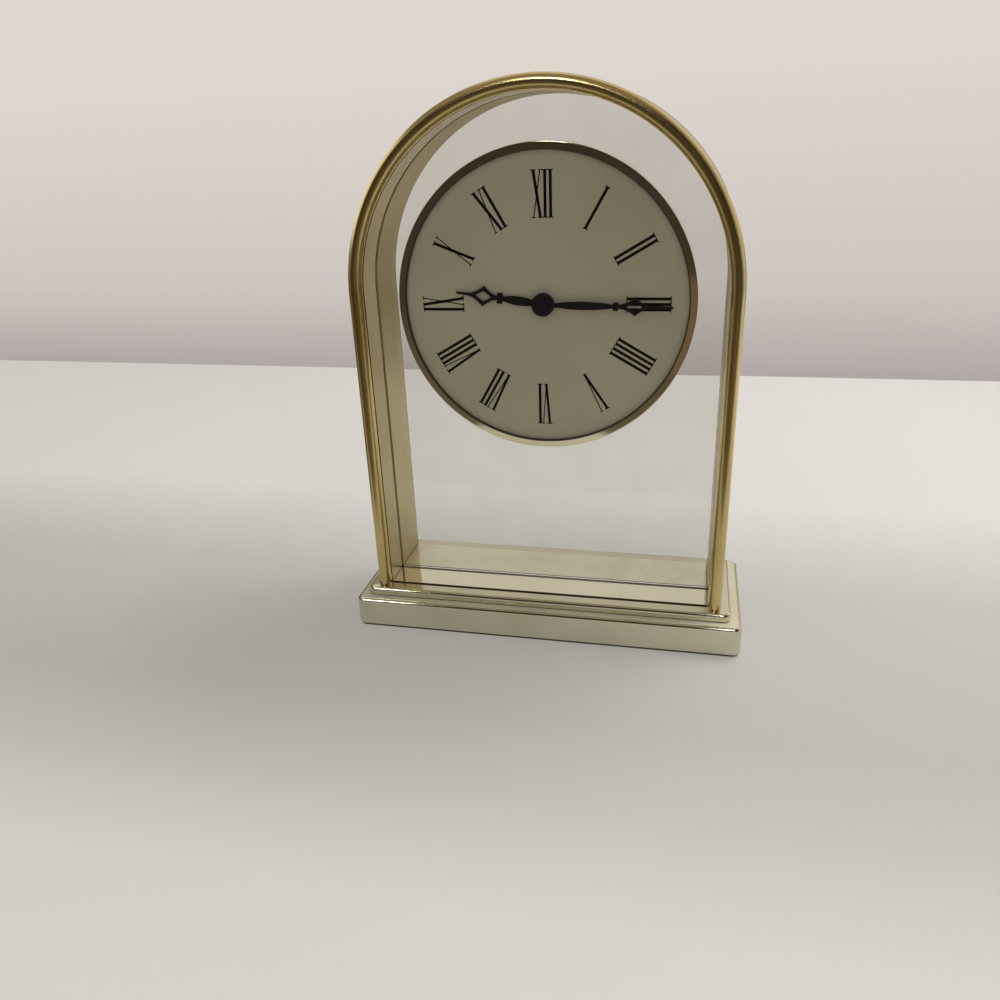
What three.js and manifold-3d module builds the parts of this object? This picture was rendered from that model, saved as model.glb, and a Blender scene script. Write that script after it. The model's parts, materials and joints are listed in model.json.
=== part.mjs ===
// Arch-topped brass table clock with a floating dial.
// Millimetres, +X to the right of the dial, +Y towards the back, +Z up, origin at the base's underside.
import * as THREE from 'three';
import { mergeVertices } from 'three/addons/utils/BufferGeometryUtils.js';
import Module from 'manifold-3d';

const wasm = await Module();
wasm.setup();

// Clearances
const FIT = 0.3;
const SNUG = 0.15;
const SEAM = 0.2;

// Base
const BASE_WIDTH = 159;
const BASE_DEPTH = 58.2;
const BASE_CORNER = 3;
const FELT_THICKNESS = 0.8;
const FELT_INSET = 2.5;
const PLINTH_HEIGHT = 11.2;
const PLINTH_WALL = 4;
const PLINTH_ROOF = 2.6;
const PLINTH_EDGE = 1.2;
const TIER_SETBACK = 4.2;
const TIER_HEIGHT = 4.6;
const TIER_EDGE = 1.3;
const COVER_THICKNESS = 1.2;
const FLOOR_THICKNESS = 1.2;
const FLOOR_RISE = 0.2;
const WEIGHT_MARGIN = 20.5;

// Arch and glass
const OVERALL_HEIGHT = 210;
const ARCH_SETBACK = 8.1;
const BAND_THICKNESS = 5.2;
const BAND_DEPTH = 38.2;
const BAND_STEP = 0.1;
const MOULDING_DEPTH = 3.6;
const LINER_THICKNESS = 2.6;
const GLASS_FRONT = -5.8;
const GLASS_THICKNESS = 4;
const GLASS_BITE = 2.2;

// Dial and hands
const DIAL_DROP = 4.8;
const BEZEL_MARGIN = 10.5;
const BEZEL_WIDTH = 2.9;
const BEZEL_CROWN = 1.4;
const BEZEL_SHOULDER = 0.8;
const DIAL_OVERLAP = 1.15;
const SPACER_THICKNESS = 2;
const DIAL_THICKNESS = 0.6;
const HAND_THICKNESS = 0.5;
const HAND_GAP = 0.6;
const HUB_REACH = 0.0782;
const CAP_THICKNESS = 0.9;
const HOUR_HAND_REACH = 0.62;
const MINUTE_HAND_REACH = 0.879;
const HOUR_SHOWN = 277.5;
const MINUTE_SHOWN = 91;

// Quartz movement
const PANEL = 1.4;
const BUSH_DIAMETER = 8;
const NUT_ACROSS = 12;
const NUT_THICKNESS = 1.3;
const WASHER_THICKNESS = 0.4;
const HOUR_TUBE_DIAMETER = 5;
const ARBOR_DIAMETER = 2.8;
const PIVOT_DIAMETER = 1;
const PIVOT_DEPTH = 0.8;
const LAYER_PITCH = 1.7;
const GEAR_THICKNESS = 1;
const GEAR_MODULE = 0.4;
const PLATE_THICKNESS = 1;
const BATTERY_DIAMETER = 14.5;
const BATTERY_LENGTH = 50.5;
const BATTERY_NUB_DIAMETER = 5.5;
const BATTERY_NUB_LENGTH = 1.2;
const CONTACT_THICKNESS = 0.5;
const CONTACT_WIDTH = 8.7;
const POST_DIAMETER = 4.4;
const CASE_SCREW_DIAMETER = 2;
const CASE_SCREW_HEAD = 0.9;
const CASE_SPLIT = 9;
const ROTOR_DIAMETER = 4.4;
const STATOR_POLE_DIAMETER = 7.2;
const STATOR_THICKNESS = 1;
const STATOR_CORE_WIDTH = 4;
const BOBBIN_LENGTH = 19;
const BOBBIN_CORE_DIAMETER = 5.4;
const BOBBIN_FLANGE = 0.7;
const COIL_DIAMETER = 7.2;
const BOARD_WIDTH = 13.5;
const BOARD_HEIGHT = 11;
const BOARD_THICKNESS = 1;
const BOARD_MARGIN = 1;
const CHIP_SIDE = 5;
const CHIP_THICKNESS = 1;
const CRYSTAL_DIAMETER = 2.2;
const CRYSTAL_LENGTH = 6.7;
const KNOB_DIAMETER = 12;
const KNOB_THICKNESS = 1.8;

// Drum behind the glass
const GASKET_THICKNESS = 0.5;
const DRUM_WALL = 1.2;
const COVER_RIM = 4;

// Screws through the base into the columns and the weight
const COLUMN_SCREW_DIAMETER = 3;
const COLUMN_SCREW_REACH = 12;
const SCREW_HEAD_HEIGHT = 1.8;
const SCREW_HEAD_RATIO = 1.9;

// Tooth shape, as shares of the module and of the tooth pitch
const TOOTH_TIP = 0.8;
const TOOTH_ROOT = 1.15;
const ROOT_SHARE = 0.36;

// Gear train: tooth counts, then axes in X and Z about the dial's centre, seen from the front
const pitchRadius = (teeth, module) => (teeth * module) / 2;
const CENTRE_TEETH = 48;
const THIRD_TEETH = 45;
const SECONDS_TEETH = 36;
const FIFTH_TEETH = 30;
const LEAVES = 6;
const CANNON_TEETH = 12;
const MINUTE_TEETH = 36;
const MINUTE_LEAVES = 10;
const HOUR_TEETH = 40;
const KNOB_TEETH = 18;
const HOUR_LAYER = 1;
const MINUTE_LAYER = 2;
const CENTRE_LAYER = 3;
const THIRD_LAYER = 4;
const SECONDS_LAYER = 5;
const FIFTH_LAYER = 6;
const motionReach = pitchRadius(HOUR_TEETH + MINUTE_LEAVES, GEAR_MODULE);
const motionModule = (2 * motionReach) / (CANNON_TEETH + MINUTE_TEETH);

function step([x, z], distance, degrees) {
  const angle = THREE.MathUtils.degToRad(degrees);
  return [x + distance * Math.cos(angle), z + distance * Math.sin(angle)];
}

const THIRD_DIRECTION = 120;
const SECONDS_DIRECTION = 180;
const FIFTH_DIRECTION = 75;
const ROTOR_DIRECTION = 45;
const MINUTE_DIRECTION = 0;
const KNOB_DIRECTION = 60;
const HALF_TURN = 180;
const centreAxis = [0, 0];
const thirdAxis = step(centreAxis, pitchRadius(CENTRE_TEETH + LEAVES, GEAR_MODULE), THIRD_DIRECTION);
const secondsAxis = step(thirdAxis, pitchRadius(THIRD_TEETH + LEAVES, GEAR_MODULE), SECONDS_DIRECTION);
const fifthAxis = step(secondsAxis, pitchRadius(SECONDS_TEETH + LEAVES, GEAR_MODULE), FIFTH_DIRECTION);
const rotorAxis = step(fifthAxis, pitchRadius(FIFTH_TEETH + LEAVES, GEAR_MODULE), ROTOR_DIRECTION);
const minuteAxis = step(centreAxis, motionReach, MINUTE_DIRECTION);
const knobAxis = step(minuteAxis, pitchRadius(MINUTE_TEETH + KNOB_TEETH, motionModule), KNOB_DIRECTION);

// Worked-out levels and radii
const plinthTop = FELT_THICKNESS + PLINTH_HEIGHT;
const tierTop = plinthTop + TIER_HEIGHT;
const cavityTop = plinthTop - PLINTH_ROOF;
const archOuter = BASE_WIDTH / 2 - ARCH_SETBACK;
const archInner = archOuter - BAND_THICKNESS;
const archMiddle = (archOuter + archInner) / 2;
const archCentre = OVERALL_HEIGHT - archOuter;
const dialCentre = archCentre - DIAL_DROP;
const bandHalf = BAND_DEPTH / 2;
const glassBack = GLASS_FRONT + GLASS_THICKNESS;
const spacerFront = GLASS_FRONT - SPACER_THICKNESS;
const dialFront = spacerFront - DIAL_THICKNESS;
const bezelOuter = archInner - BEZEL_MARGIN;
const bezelInner = bezelOuter - BEZEL_WIDTH;
const dialRadius = bezelInner + DIAL_OVERLAP;
const hubRadius = HUB_REACH * dialRadius;
const hourHandBack = dialFront - HAND_GAP;
const hourHandFront = hourHandBack - HAND_THICKNESS;
const minuteHandBack = hourHandFront - HAND_GAP;
const minuteHandFront = minuteHandBack - HAND_THICKNESS;
const drumFront = glassBack + GASKET_THICKNESS;
const caseFront = drumFront + DRUM_WALL;
const panelInner = caseFront + PANEL;
const bushRadius = BUSH_DIAMETER / 2;
const tubeRadius = HOUR_TUBE_DIAMETER / 2;
const arborRadius = ARBOR_DIAMETER / 2;
const pivotRadius = PIVOT_DIAMETER / 2;
const bushHole = bushRadius + FIT;
const cellNeeds = BATTERY_LENGTH / 2 + CONTACT_THICKNESS + 2 * FIT;
const trainNeeds = rotorAxis[1] + STATOR_POLE_DIAMETER / 2 + SNUG;
const caseInner = Math.max(cellNeeds, trainNeeds);
const caseOuter = caseInner + PANEL;
const batteryHeight = -caseInner + FIT + BATTERY_DIAMETER / 2;
const batteryY = panelInner + FIT + BATTERY_DIAMETER / 2;
const batteryTop = batteryHeight + BATTERY_DIAMETER / 2;
const caseBack = batteryY + BATTERY_DIAMETER / 2 + FIT;
const backPanelInner = caseBack - PANEL;
const layer = (number) => panelInner + FIT + (number - 1) * LAYER_PITCH;
const plateFront = layer(FIFTH_LAYER) + LAYER_PITCH;
const plateBack = plateFront + PLATE_THICKNESS;
const knobBack = caseBack + FIT + KNOB_THICKNESS;
const coverInner = knobBack + FIT;
const drumInner = caseOuter * Math.SQRT2 + DRUM_WALL + 3 * FIT;
const drumOuter = drumInner + DRUM_WALL;

const clock = new THREE.Group();

const FINISHES = {
  brass: { color: '#c9a961', roughness: 0.12, metalness: 1 },
  satinBrass: { color: '#b99d62', roughness: 0.4, metalness: 1 },
  paleBrass: { color: '#d2c8a4', roughness: 0.15, metalness: 1 },
  glass: { color: '#e8f0ee', roughness: 0.02, metalness: 0 },
  ivory: { color: '#efe6c9', roughness: 0.7, metalness: 0 },
  blackPaint: { color: '#16151a', roughness: 0.45, metalness: 0 },
  blackPlastic: { color: '#1d1d1f', roughness: 0.5, metalness: 0 },
  whitePlastic: { color: '#e6e4dc', roughness: 0.45, metalness: 0 },
  steel: { color: '#b9bcc0', roughness: 0.3, metalness: 1 },
  felt: { color: '#1f3a2a', roughness: 0.95, metalness: 0 },
  rubber: { color: '#2a2a2a', roughness: 0.9, metalness: 0 },
  copper: { color: '#b4652f', roughness: 0.35, metalness: 1 },
  board: { color: '#2f6b3c', roughness: 0.6, metalness: 0 },
  magnet: { color: '#54545a', roughness: 0.5, metalness: 1 },
  battery: { color: '#3d4c6b', roughness: 0.35, metalness: 0 },
};

// Turns a three.js geometry into a closed solid that can be joined and cut.
function solidFrom(geometry) {
  const bare = new THREE.BufferGeometry();
  bare.setAttribute('position', geometry.getAttribute('position'));
  bare.setIndex(geometry.index);
  const welded = mergeVertices(bare);
  const triangles = [];
  for (let i = 0; i < welded.index.count; i += 3) {
    const corners = [0, 1, 2].map((k) => welded.index.getX(i + k));
    if (new Set(corners).size === 3) {
      triangles.push(...corners);
    }
  }
  const vertProperties = Float32Array.from(welded.getAttribute('position').array);
  const triVerts = Uint32Array.from(triangles);
  return new wasm.Manifold(new wasm.Mesh({ numProp: 3, vertProperties, triVerts }));
}

// Adds one finished piece to the clock.
function piece(name, solid, finish) {
  const { vertProperties, triVerts } = solid.getMesh();
  const geometry = new THREE.BufferGeometry();
  geometry.setAttribute('position', new THREE.BufferAttribute(vertProperties, 3));
  geometry.setIndex(new THREE.BufferAttribute(triVerts, 1));
  geometry.computeVertexNormals();
  const mesh = new THREE.Mesh(geometry, new THREE.MeshStandardMaterial(FINISHES[finish]));
  mesh.name = name;
  clock.add(mesh);
  return mesh;
}

// Pushes an outline drawn in X and Z along Y, from front to back.
function alongY(shape, front, back, curveSegments, x = 0, z = 0) {
  const depth = back - front;
  const geometry = new THREE.ExtrudeGeometry(shape, { depth, bevelEnabled: false, curveSegments });
  geometry.rotateX(Math.PI / 2);
  geometry.translate(x, back, z);
  return solidFrom(geometry);
}

// A box between two corners.
function block(x0, x1, y0, y1, z0, z1) {
  const geometry = new THREE.BoxGeometry(x1 - x0, y1 - y0, z1 - z0);
  geometry.translate((x0 + x1) / 2, (y0 + y1) / 2, (z0 + z1) / 2);
  return solidFrom(geometry);
}

// A profile of [radius, y] pairs turned about a line along Y at height z.
function turned(profile, x, z, segments = 20) {
  const points = profile.map(([radius, y]) => new THREE.Vector2(radius, y));
  const geometry = new THREE.LatheGeometry(points, segments);
  geometry.translate(x, 0, z);
  return solidFrom(geometry);
}

function rodY(radius, front, back, x, z, segments = 20) {
  return turned([[0, front], [radius, front], [radius, back], [0, back]], x, z, segments);
}

function ringY(outer, inner, front, back, x, z, segments = 20) {
  const profile = [[inner, front], [outer, front], [outer, back], [inner, back], [inner, front]];
  return turned(profile, x, z, segments);
}

// A round bar standing on z0, with its axis along Z.
function rodZ(radius, z0, z1, x, y, segments = 10) {
  const geometry = new THREE.CylinderGeometry(radius, radius, z1 - z0, segments);
  geometry.rotateX(Math.PI / 2);
  geometry.translate(x, y, (z0 + z1) / 2);
  return solidFrom(geometry);
}

// A round bar with its axis along X.
function rodX(radius, x0, x1, y, z, segments = 16) {
  const geometry = new THREE.CylinderGeometry(radius, radius, x1 - x0, segments);
  geometry.rotateZ(Math.PI / 2);
  geometry.translate((x0 + x1) / 2, y, z);
  return solidFrom(geometry);
}

function joined(first, ...others) {
  return others.reduce((sum, solid) => sum.add(solid), first);
}

function cut(first, ...others) {
  return others.reduce((rest, solid) => rest.subtract(solid), first);
}

function roundedRectangle(halfX, halfY, radius) {
  const shape = new THREE.Shape();
  shape.moveTo(halfX - radius, -halfY);
  shape.absarc(halfX - radius, -halfY + radius, radius, -Math.PI / 2, 0);
  shape.absarc(halfX - radius, halfY - radius, radius, 0, Math.PI / 2);
  shape.absarc(-halfX + radius, halfY - radius, radius, Math.PI / 2, Math.PI);
  shape.absarc(-halfX + radius, -halfY + radius, radius, Math.PI, Math.PI * 1.5);
  return shape;
}

// A slab standing on z0 with upright corners of one radius and its top edge rounded off.
function slab(halfX, halfY, corner, edge, z0, z1) {
  const options = {
    depth: z1 - z0,
    bevelThickness: edge,
    bevelSize: edge,
    bevelOffset: -edge,
    bevelSegments: 3,
    curveSegments: 4,
  };
  const geometry = new THREE.ExtrudeGeometry(roundedRectangle(halfX, halfY, corner), options);
  geometry.translate(0, 0, z0 - edge);
  const below = block(-halfX, halfX, -halfY, halfY, z0 - 3 * edge, z0);
  return cut(solidFrom(geometry), below);
}

// A doorway outline with a half-round head, filled from side to side.
function doorway(radius, foot) {
  const shape = new THREE.Shape();
  shape.moveTo(-radius, foot);
  shape.lineTo(radius, foot);
  shape.lineTo(radius, archCentre);
  shape.absarc(0, archCentre, radius, 0, Math.PI);
  return shape;
}

const ARCH_STEPS = 28;

function archSlab(radius, foot, front, back) {
  return alongY(doorway(radius, foot), front, back, ARCH_STEPS);
}

// An arch of rectangular section, open at the foot.
function archBand(outer, inner, front, back) {
  const opening = archSlab(inner, tierTop - FIT, front - FIT, back + FIT);
  return cut(archSlab(outer, tierTop, front, back), opening);
}

// Base: felt, hollow plinth, bottom cover, weight, upper tier and floor plates
const plinthHalfX = BASE_WIDTH / 2;
const plinthHalfY = BASE_DEPTH / 2;
const cavityHalfX = plinthHalfX - PLINTH_WALL;
const cavityHalfY = plinthHalfY - PLINTH_WALL;
const tierHalfX = plinthHalfX - TIER_SETBACK;
const tierHalfY = plinthHalfY - TIER_SETBACK;
const columnScrewRadius = COLUMN_SCREW_DIAMETER / 2;
const columnScrewY = (glassBack + bandHalf) / 2;
const weightFoot = FELT_THICKNESS + COVER_THICKNESS + FIT + SCREW_HEAD_HEIGHT;
const weightHalfX = cavityHalfX - WEIGHT_MARGIN;
const weightHalfY = cavityHalfY - FIT;
const weightScrewX = weightHalfX / 2;
const sides = [['left', -1], ['right', 1]];

function makeBase() {
  const feltShape = roundedRectangle(plinthHalfX - FELT_INSET, plinthHalfY - FELT_INSET, BASE_CORNER);
  const feltOptions = { depth: FELT_THICKNESS, bevelEnabled: false, curveSegments: 4 };
  piece('felt_pad', solidFrom(new THREE.ExtrudeGeometry(feltShape, feltOptions)), 'felt');

  const hole = columnScrewRadius + SNUG;
  const columnHoles = sides.map(([, side]) => rodZ(hole, 0, tierTop + FIT, side * archMiddle, columnScrewY));
  const weightHoles = sides.map(([, side]) => rodZ(hole, 0, plinthTop - SEAM, side * weightScrewX, 0));
  const cavity = block(-cavityHalfX, cavityHalfX, -cavityHalfY, cavityHalfY, 0, cavityTop);
  const plinth = slab(plinthHalfX, plinthHalfY, BASE_CORNER, PLINTH_EDGE, FELT_THICKNESS, plinthTop);
  piece('base_plinth', cut(plinth, cavity, ...columnHoles, ...weightHoles), 'paleBrass');

  const coverHalfX = cavityHalfX - FIT;
  const coverHalfY = cavityHalfY - FIT;
  const coverTop = FELT_THICKNESS + COVER_THICKNESS;
  const cover = block(-coverHalfX, coverHalfX, -coverHalfY, coverHalfY, FELT_THICKNESS, coverTop);
  piece('base_cover', cover, 'steel');

  const weight = block(-weightHalfX, weightHalfX, -weightHalfY, weightHalfY, weightFoot, cavityTop);
  piece('base_weight', cut(weight, ...weightHoles), 'steel');

  const floorHalfX = archInner - FIT;
  const floorTop = tierTop + FLOOR_RISE;
  const floorFoot = floorTop - FLOOR_THICKNESS;
  const floors = [
    ['floor_front_plate', -bandHalf, GLASS_FRONT - SEAM, 'brass'],
    ['floor_rear_plate', glassBack + SEAM, bandHalf, 'satinBrass'],
  ];
  const pockets = floors.map(([, front, back]) => {
    const right = floorHalfX + SEAM;
    return block(-right, right, front - SEAM, back + SEAM / 2, floorFoot, floorTop + FIT);
  });
  const tier = slab(tierHalfX, tierHalfY, BASE_CORNER, TIER_EDGE, plinthTop, tierTop);
  piece('base_tier', cut(tier, ...pockets, ...columnHoles), 'paleBrass');
  for (const [name, front, back, finish] of floors) {
    piece(name, block(-floorHalfX, floorHalfX, front, back, floorFoot, floorTop), finish);
  }
}

// A screw pointing up, with its head below the given seat.
function uprightScrew(seat, reach, x, y) {
  const head = rodZ(columnScrewRadius * SCREW_HEAD_RATIO, seat - SCREW_HEAD_HEIGHT, seat, x, y);
  return joined(head, rodZ(columnScrewRadius, seat - SEAM, reach, x, y));
}

function makeBaseScrews() {
  const columnReach = tierTop + COLUMN_SCREW_REACH - FIT;
  const weightReach = plinthTop - 2 * FIT;
  for (const [name, side] of sides) {
    const columnScrew = uprightScrew(cavityTop, columnReach, side * archMiddle, columnScrewY);
    piece(`column_screw_${name}`, columnScrew, 'steel');
    const weightScrew = uprightScrew(weightFoot, weightReach, side * weightScrewX, 0);
    piece(`weight_screw_${name}`, weightScrew, 'steel');
  }
}

// A thin doorway line, open at the foot, drawn as an outline of the given half width.
function doorwayLine(radius, half, foot) {
  const shape = new THREE.Shape();
  shape.moveTo(radius + half, foot);
  shape.lineTo(radius + half, archCentre);
  shape.absarc(0, archCentre, radius + half, 0, Math.PI);
  shape.lineTo(-radius - half, foot);
  shape.lineTo(-radius + half, foot);
  shape.lineTo(-radius + half, archCentre);
  shape.absarc(0, archCentre, radius - half, Math.PI, 0, true);
  shape.lineTo(radius - half, foot);
  return shape;
}

// A round-nosed moulding bent into the arch, with its flat back at the given depth.
const MOULDING_STEPS = 3;

function archMoulding(flatY, facing) {
  const crown = BAND_THICKNESS / 2 - SEAM;
  const options = {
    depth: 2 * SEAM,
    bevelThickness: MOULDING_DEPTH - SEAM,
    bevelSize: crown,
    bevelSegments: MOULDING_STEPS,
    curveSegments: ARCH_STEPS,
  };
  const geometry = new THREE.ExtrudeGeometry(doorwayLine(archMiddle, SEAM, tierTop - FIT), options);
  geometry.rotateX(Math.PI / 2);
  geometry.translate(0, flatY + SEAM, 0);
  const reach = archOuter + FIT;
  const away = flatY - facing * 2 * MOULDING_DEPTH;
  const top = OVERALL_HEIGHT + FIT;
  const behind = block(-reach, reach, Math.min(flatY, away), Math.max(flatY, away), 0, top);
  const below = block(-reach, reach, flatY - 2 * MOULDING_DEPTH, flatY + 2 * MOULDING_DEPTH, 0, tierTop);
  return cut(solidFrom(geometry), behind, below);
}

function makeArch() {
  const bandOuter = archOuter - BAND_STEP;
  const front = -bandHalf;
  const rebate = archSlab(archInner + LINER_THICKNESS + FIT, tierTop - FIT, front - FIT, glassBack);
  const screwHoles = sides.map(([, side]) => {
    const top = tierTop + COLUMN_SCREW_REACH;
    return rodZ(columnScrewRadius + SNUG, tierTop - FIT, top, side * archMiddle, columnScrewY);
  });
  const band = archBand(bandOuter, archInner, front, bandHalf);
  piece('arch_band', cut(band, rebate, ...screwHoles), 'satinBrass');
  const liner = archBand(archInner + LINER_THICKNESS, archInner, front, GLASS_FRONT);
  piece('arch_front_liner', liner, 'brass');
  piece('arch_front_moulding', archMoulding(front - SEAM, -1), 'brass');
  piece('arch_rear_moulding', archMoulding(bandHalf + SEAM, 1), 'brass');

  const glass = archSlab(archInner + GLASS_BITE, tierTop, GLASS_FRONT, glassBack);
  const hole = rodY(bushHole, GLASS_FRONT - FIT, glassBack + FIT, 0, dialCentre);
  piece('glass_panel', cut(glass, hole), 'glass');
}

// Dial: spacer, face and a bezel that slopes away from the dial, on the front of the glass
const DIAL_STEPS = 48;

function makeDial() {
  const height = dialCentre;
  const nutSpace = NUT_ACROSS / Math.sqrt(3) + FIT;
  const spacer = ringY(dialRadius, nutSpace, spacerFront, GLASS_FRONT, 0, height, DIAL_STEPS);
  piece('dial_spacer', spacer, 'whitePlastic');
  const tubeHole = tubeRadius + 2 * FIT;
  const face = ringY(dialRadius, tubeHole, dialFront, spacerFront, 0, height, DIAL_STEPS);
  piece('dial_face', face, 'ivory');

  const seat = dialFront - SNUG;
  const rebate = dialRadius + SNUG;
  const crown = seat - BEZEL_CROWN;
  const shoulder = seat - BEZEL_SHOULDER;
  const profile = [[rebate, GLASS_FRONT], [rebate, seat], [bezelInner, seat], [bezelInner, crown]];
  profile.push([bezelOuter, shoulder], [bezelOuter, GLASS_FRONT], [rebate, GLASS_FRONT]);
  piece('bezel_ring', turned(profile, 0, height, DIAL_STEPS), 'brass');
}

// Hands, drawn pointing at twelve: right half of the outline from hub to tip, mirrored.
// Every number is a share of the hand's length.
const HOUR_HAND = {
  reach: HOUR_HAND_REACH,
  blade: { start: 0.108, startHalf: 0.027, end: 0.462, endHalf: 0.023, fullHalf: 0.05 },
  collar: { start: 0.465, end: 0.526, half: 0.059 },
  diamond: { start: 0.529, startHalf: 0.023, middle: 0.685, half: 0.116, end: 0.853, endHalf: 0.015 },
  window: { start: 0.592, half: 0.057, end: 0.781 },
  tipHalf: 0.011,
};
const MINUTE_HAND = {
  reach: MINUTE_HAND_REACH,
  blade: { start: 0.076, startHalf: 0.014, end: 0.544, endHalf: 0.015, fullHalf: 0.032 },
  collar: { start: 0.547, end: 0.585, half: 0.032 },
  diamond: { start: 0.587, startHalf: 0.016, middle: 0.714, half: 0.07, end: 0.826, endHalf: 0.013 },
  window: { start: 0.642, half: 0.034, end: 0.771 },
  tipHalf: 0.008,
};
const SLENDER = 0.28;
const HUB_STEPS = 24;

function handSide(hand) {
  const { blade, collar, diamond } = hand;
  const path = new THREE.Path();
  const bulge = 2 * blade.fullHalf - (blade.startHalf + blade.endHalf) / 2;
  path.moveTo(blade.startHalf, blade.start);
  path.quadraticCurveTo(bulge, (blade.start + blade.end) / 2, blade.endHalf, blade.end);
  path.lineTo(collar.half, collar.start);
  path.lineTo(collar.half, collar.end);
  path.lineTo(diamond.startHalf, diamond.start);
  const hollow = diamond.half * SLENDER;
  path.quadraticCurveTo(hollow, (diamond.start + diamond.middle) / 2, diamond.half, diamond.middle);
  path.quadraticCurveTo(hollow, (diamond.middle + diamond.end) / 2, diamond.endHalf, diamond.end);
  path.lineTo(hand.tipHalf, 1);
  return path.getPoints(5);
}

function handOutline(hand) {
  const length = hand.reach * dialRadius;
  const right = handSide(hand).map((point) => point.multiplyScalar(length));
  const left = right.map((point) => new THREE.Vector2(-point.x, point.y)).reverse();
  const shape = new THREE.Shape([...right, ...left]);
  const { start, half, end } = hand.window;
  const middle = hand.diamond.middle;
  const corners = [[0, start], [half, middle], [0, end], [-half, middle]];
  shape.holes.push(new THREE.Path(corners.map(([x, z]) => new THREE.Vector2(x * length, z * length))));
  return shape;
}

// A flat hand with a round hub, swung clockwise from twelve about the dial's centre.
function placeHand(name, hand, front, back, bore, shownAt) {
  const hub = rodY(hubRadius, front, back, 0, 0, HUB_STEPS);
  const arm = joined(alongY(handOutline(hand), front, back), hub);
  const mesh = piece(name, cut(arm, rodY(bore, front - FIT, back + FIT, 0, 0)), 'blackPaint');
  mesh.rotation.y = THREE.MathUtils.degToRad(shownAt);
  mesh.position.z = dialCentre;
}

function makeHands() {
  const hourBore = tubeRadius + SNUG;
  const minuteBore = arborRadius + SNUG;
  placeHand('hour_hand', HOUR_HAND, hourHandFront, hourHandBack, hourBore, HOUR_SHOWN);
  placeHand('minute_hand', MINUTE_HAND, minuteHandFront, minuteHandBack, minuteBore, MINUTE_SHOWN);
  const front = minuteHandFront - CAP_THICKNESS;
  const shoulder = CAP_THICKNESS / 3;
  const profile = [[0, front], [hubRadius - shoulder, front], [hubRadius, front + shoulder]];
  profile.push([hubRadius, minuteHandFront], [0, minuteHandFront]);
  piece('hand_cap', turned(profile, 0, dialCentre, HUB_STEPS), 'blackPaint');
}

// Angle of a driven gear's first tooth so that its gaps meet the driver's teeth.
function meshedPhase(driverTeeth, driverPhase, drivenTeeth, direction) {
  const share = ((direction - driverPhase) * driverTeeth) / 360;
  return direction + HALF_TURN - (360 / drivenTeeth) * (0.5 - share);
}

function gearOutline(teeth, module, phase) {
  const pitch = 360 / teeth;
  const radius = pitchRadius(teeth, module);
  const root = radius - TOOTH_ROOT * module;
  const tip = radius + TOOTH_TIP * module;
  const points = [];
  for (let i = 0; i < teeth; i += 1) {
    const middle = phase + i * pitch;
    points.push(step([0, 0], root, middle - ROOT_SHARE * pitch));
    points.push(step([0, 0], tip, middle));
    points.push(step([0, 0], root, middle + ROOT_SHARE * pitch));
  }
  return new THREE.Shape(points.map(([x, z]) => new THREE.Vector2(x, z)));
}

// A toothed wheel in one layer of the movement.
function gear(teeth, module, phase, front, [x, z]) {
  const outline = gearOutline(teeth, module, phase);
  return alongY(outline, front, front + GEAR_THICKNESS, 1, x, dialCentre + z);
}

function spindle(radius, front, back, [x, z]) {
  return rodY(radius, front, back, x, dialCentre + z, 10);
}

const spindleRadius = pivotRadius + SNUG / 2;
const pivotFront = panelInner - PIVOT_DEPTH + SNUG;

// An arbor with a pinion in one layer and a wheel in the next, carried by pivots at both ends.
function wheelAndPinion(axis, pinionLayer, pinionPhase, wheelTeeth, wheelPhase) {
  const pinion = gear(LEAVES, GEAR_MODULE, pinionPhase, layer(pinionLayer), axis);
  const wheel = gear(wheelTeeth, GEAR_MODULE, wheelPhase, layer(pinionLayer + 1), axis);
  const body = spindle(spindleRadius, panelInner + SNUG, plateFront - SNUG, axis);
  const pivots = spindle(pivotRadius, pivotFront, plateBack, axis);
  return joined(body, pivots, pinion, wheel);
}

function makeGoingTrain() {
  const arborBack = arborRadius - 2 * SNUG;
  const centreBore = spindle(arborBack + SNUG, layer(CENTRE_LAYER) - FIT, layer(THIRD_LAYER), centreAxis);
  const centreWheel = gear(CENTRE_TEETH, GEAR_MODULE, THIRD_DIRECTION, layer(CENTRE_LAYER), centreAxis);
  piece('centre_wheel', cut(centreWheel, centreBore), 'brass');
  const thirdPhase = meshedPhase(CENTRE_TEETH, THIRD_DIRECTION, LEAVES, THIRD_DIRECTION);
  const third = wheelAndPinion(thirdAxis, CENTRE_LAYER, thirdPhase, THIRD_TEETH, SECONDS_DIRECTION);
  piece('third_wheel', third, 'whitePlastic');
  const secondsPhase = meshedPhase(THIRD_TEETH, SECONDS_DIRECTION, LEAVES, SECONDS_DIRECTION);
  const seconds = wheelAndPinion(secondsAxis, THIRD_LAYER, secondsPhase, SECONDS_TEETH, FIFTH_DIRECTION);
  piece('seconds_wheel', seconds, 'whitePlastic');
  const fifthPhase = meshedPhase(SECONDS_TEETH, FIFTH_DIRECTION, LEAVES, FIFTH_DIRECTION);
  const fifth = wheelAndPinion(fifthAxis, SECONDS_LAYER, fifthPhase, FIFTH_TEETH, ROTOR_DIRECTION);
  piece('fifth_wheel', fifth, 'whitePlastic');
  const rotorPhase = meshedPhase(FIFTH_TEETH, ROTOR_DIRECTION, LEAVES, ROTOR_DIRECTION);
  const rotor = joined(
    spindle(spindleRadius, panelInner + SNUG, plateFront - SNUG, rotorAxis),
    spindle(pivotRadius, pivotFront, plateBack, rotorAxis),
    gear(LEAVES, GEAR_MODULE, rotorPhase, layer(FIFTH_LAYER), rotorAxis),
    spindle(ROTOR_DIAMETER / 2, layer(CENTRE_LAYER), layer(SECONDS_LAYER), rotorAxis),
  );
  piece('rotor', rotor, 'magnet');
}

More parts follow.
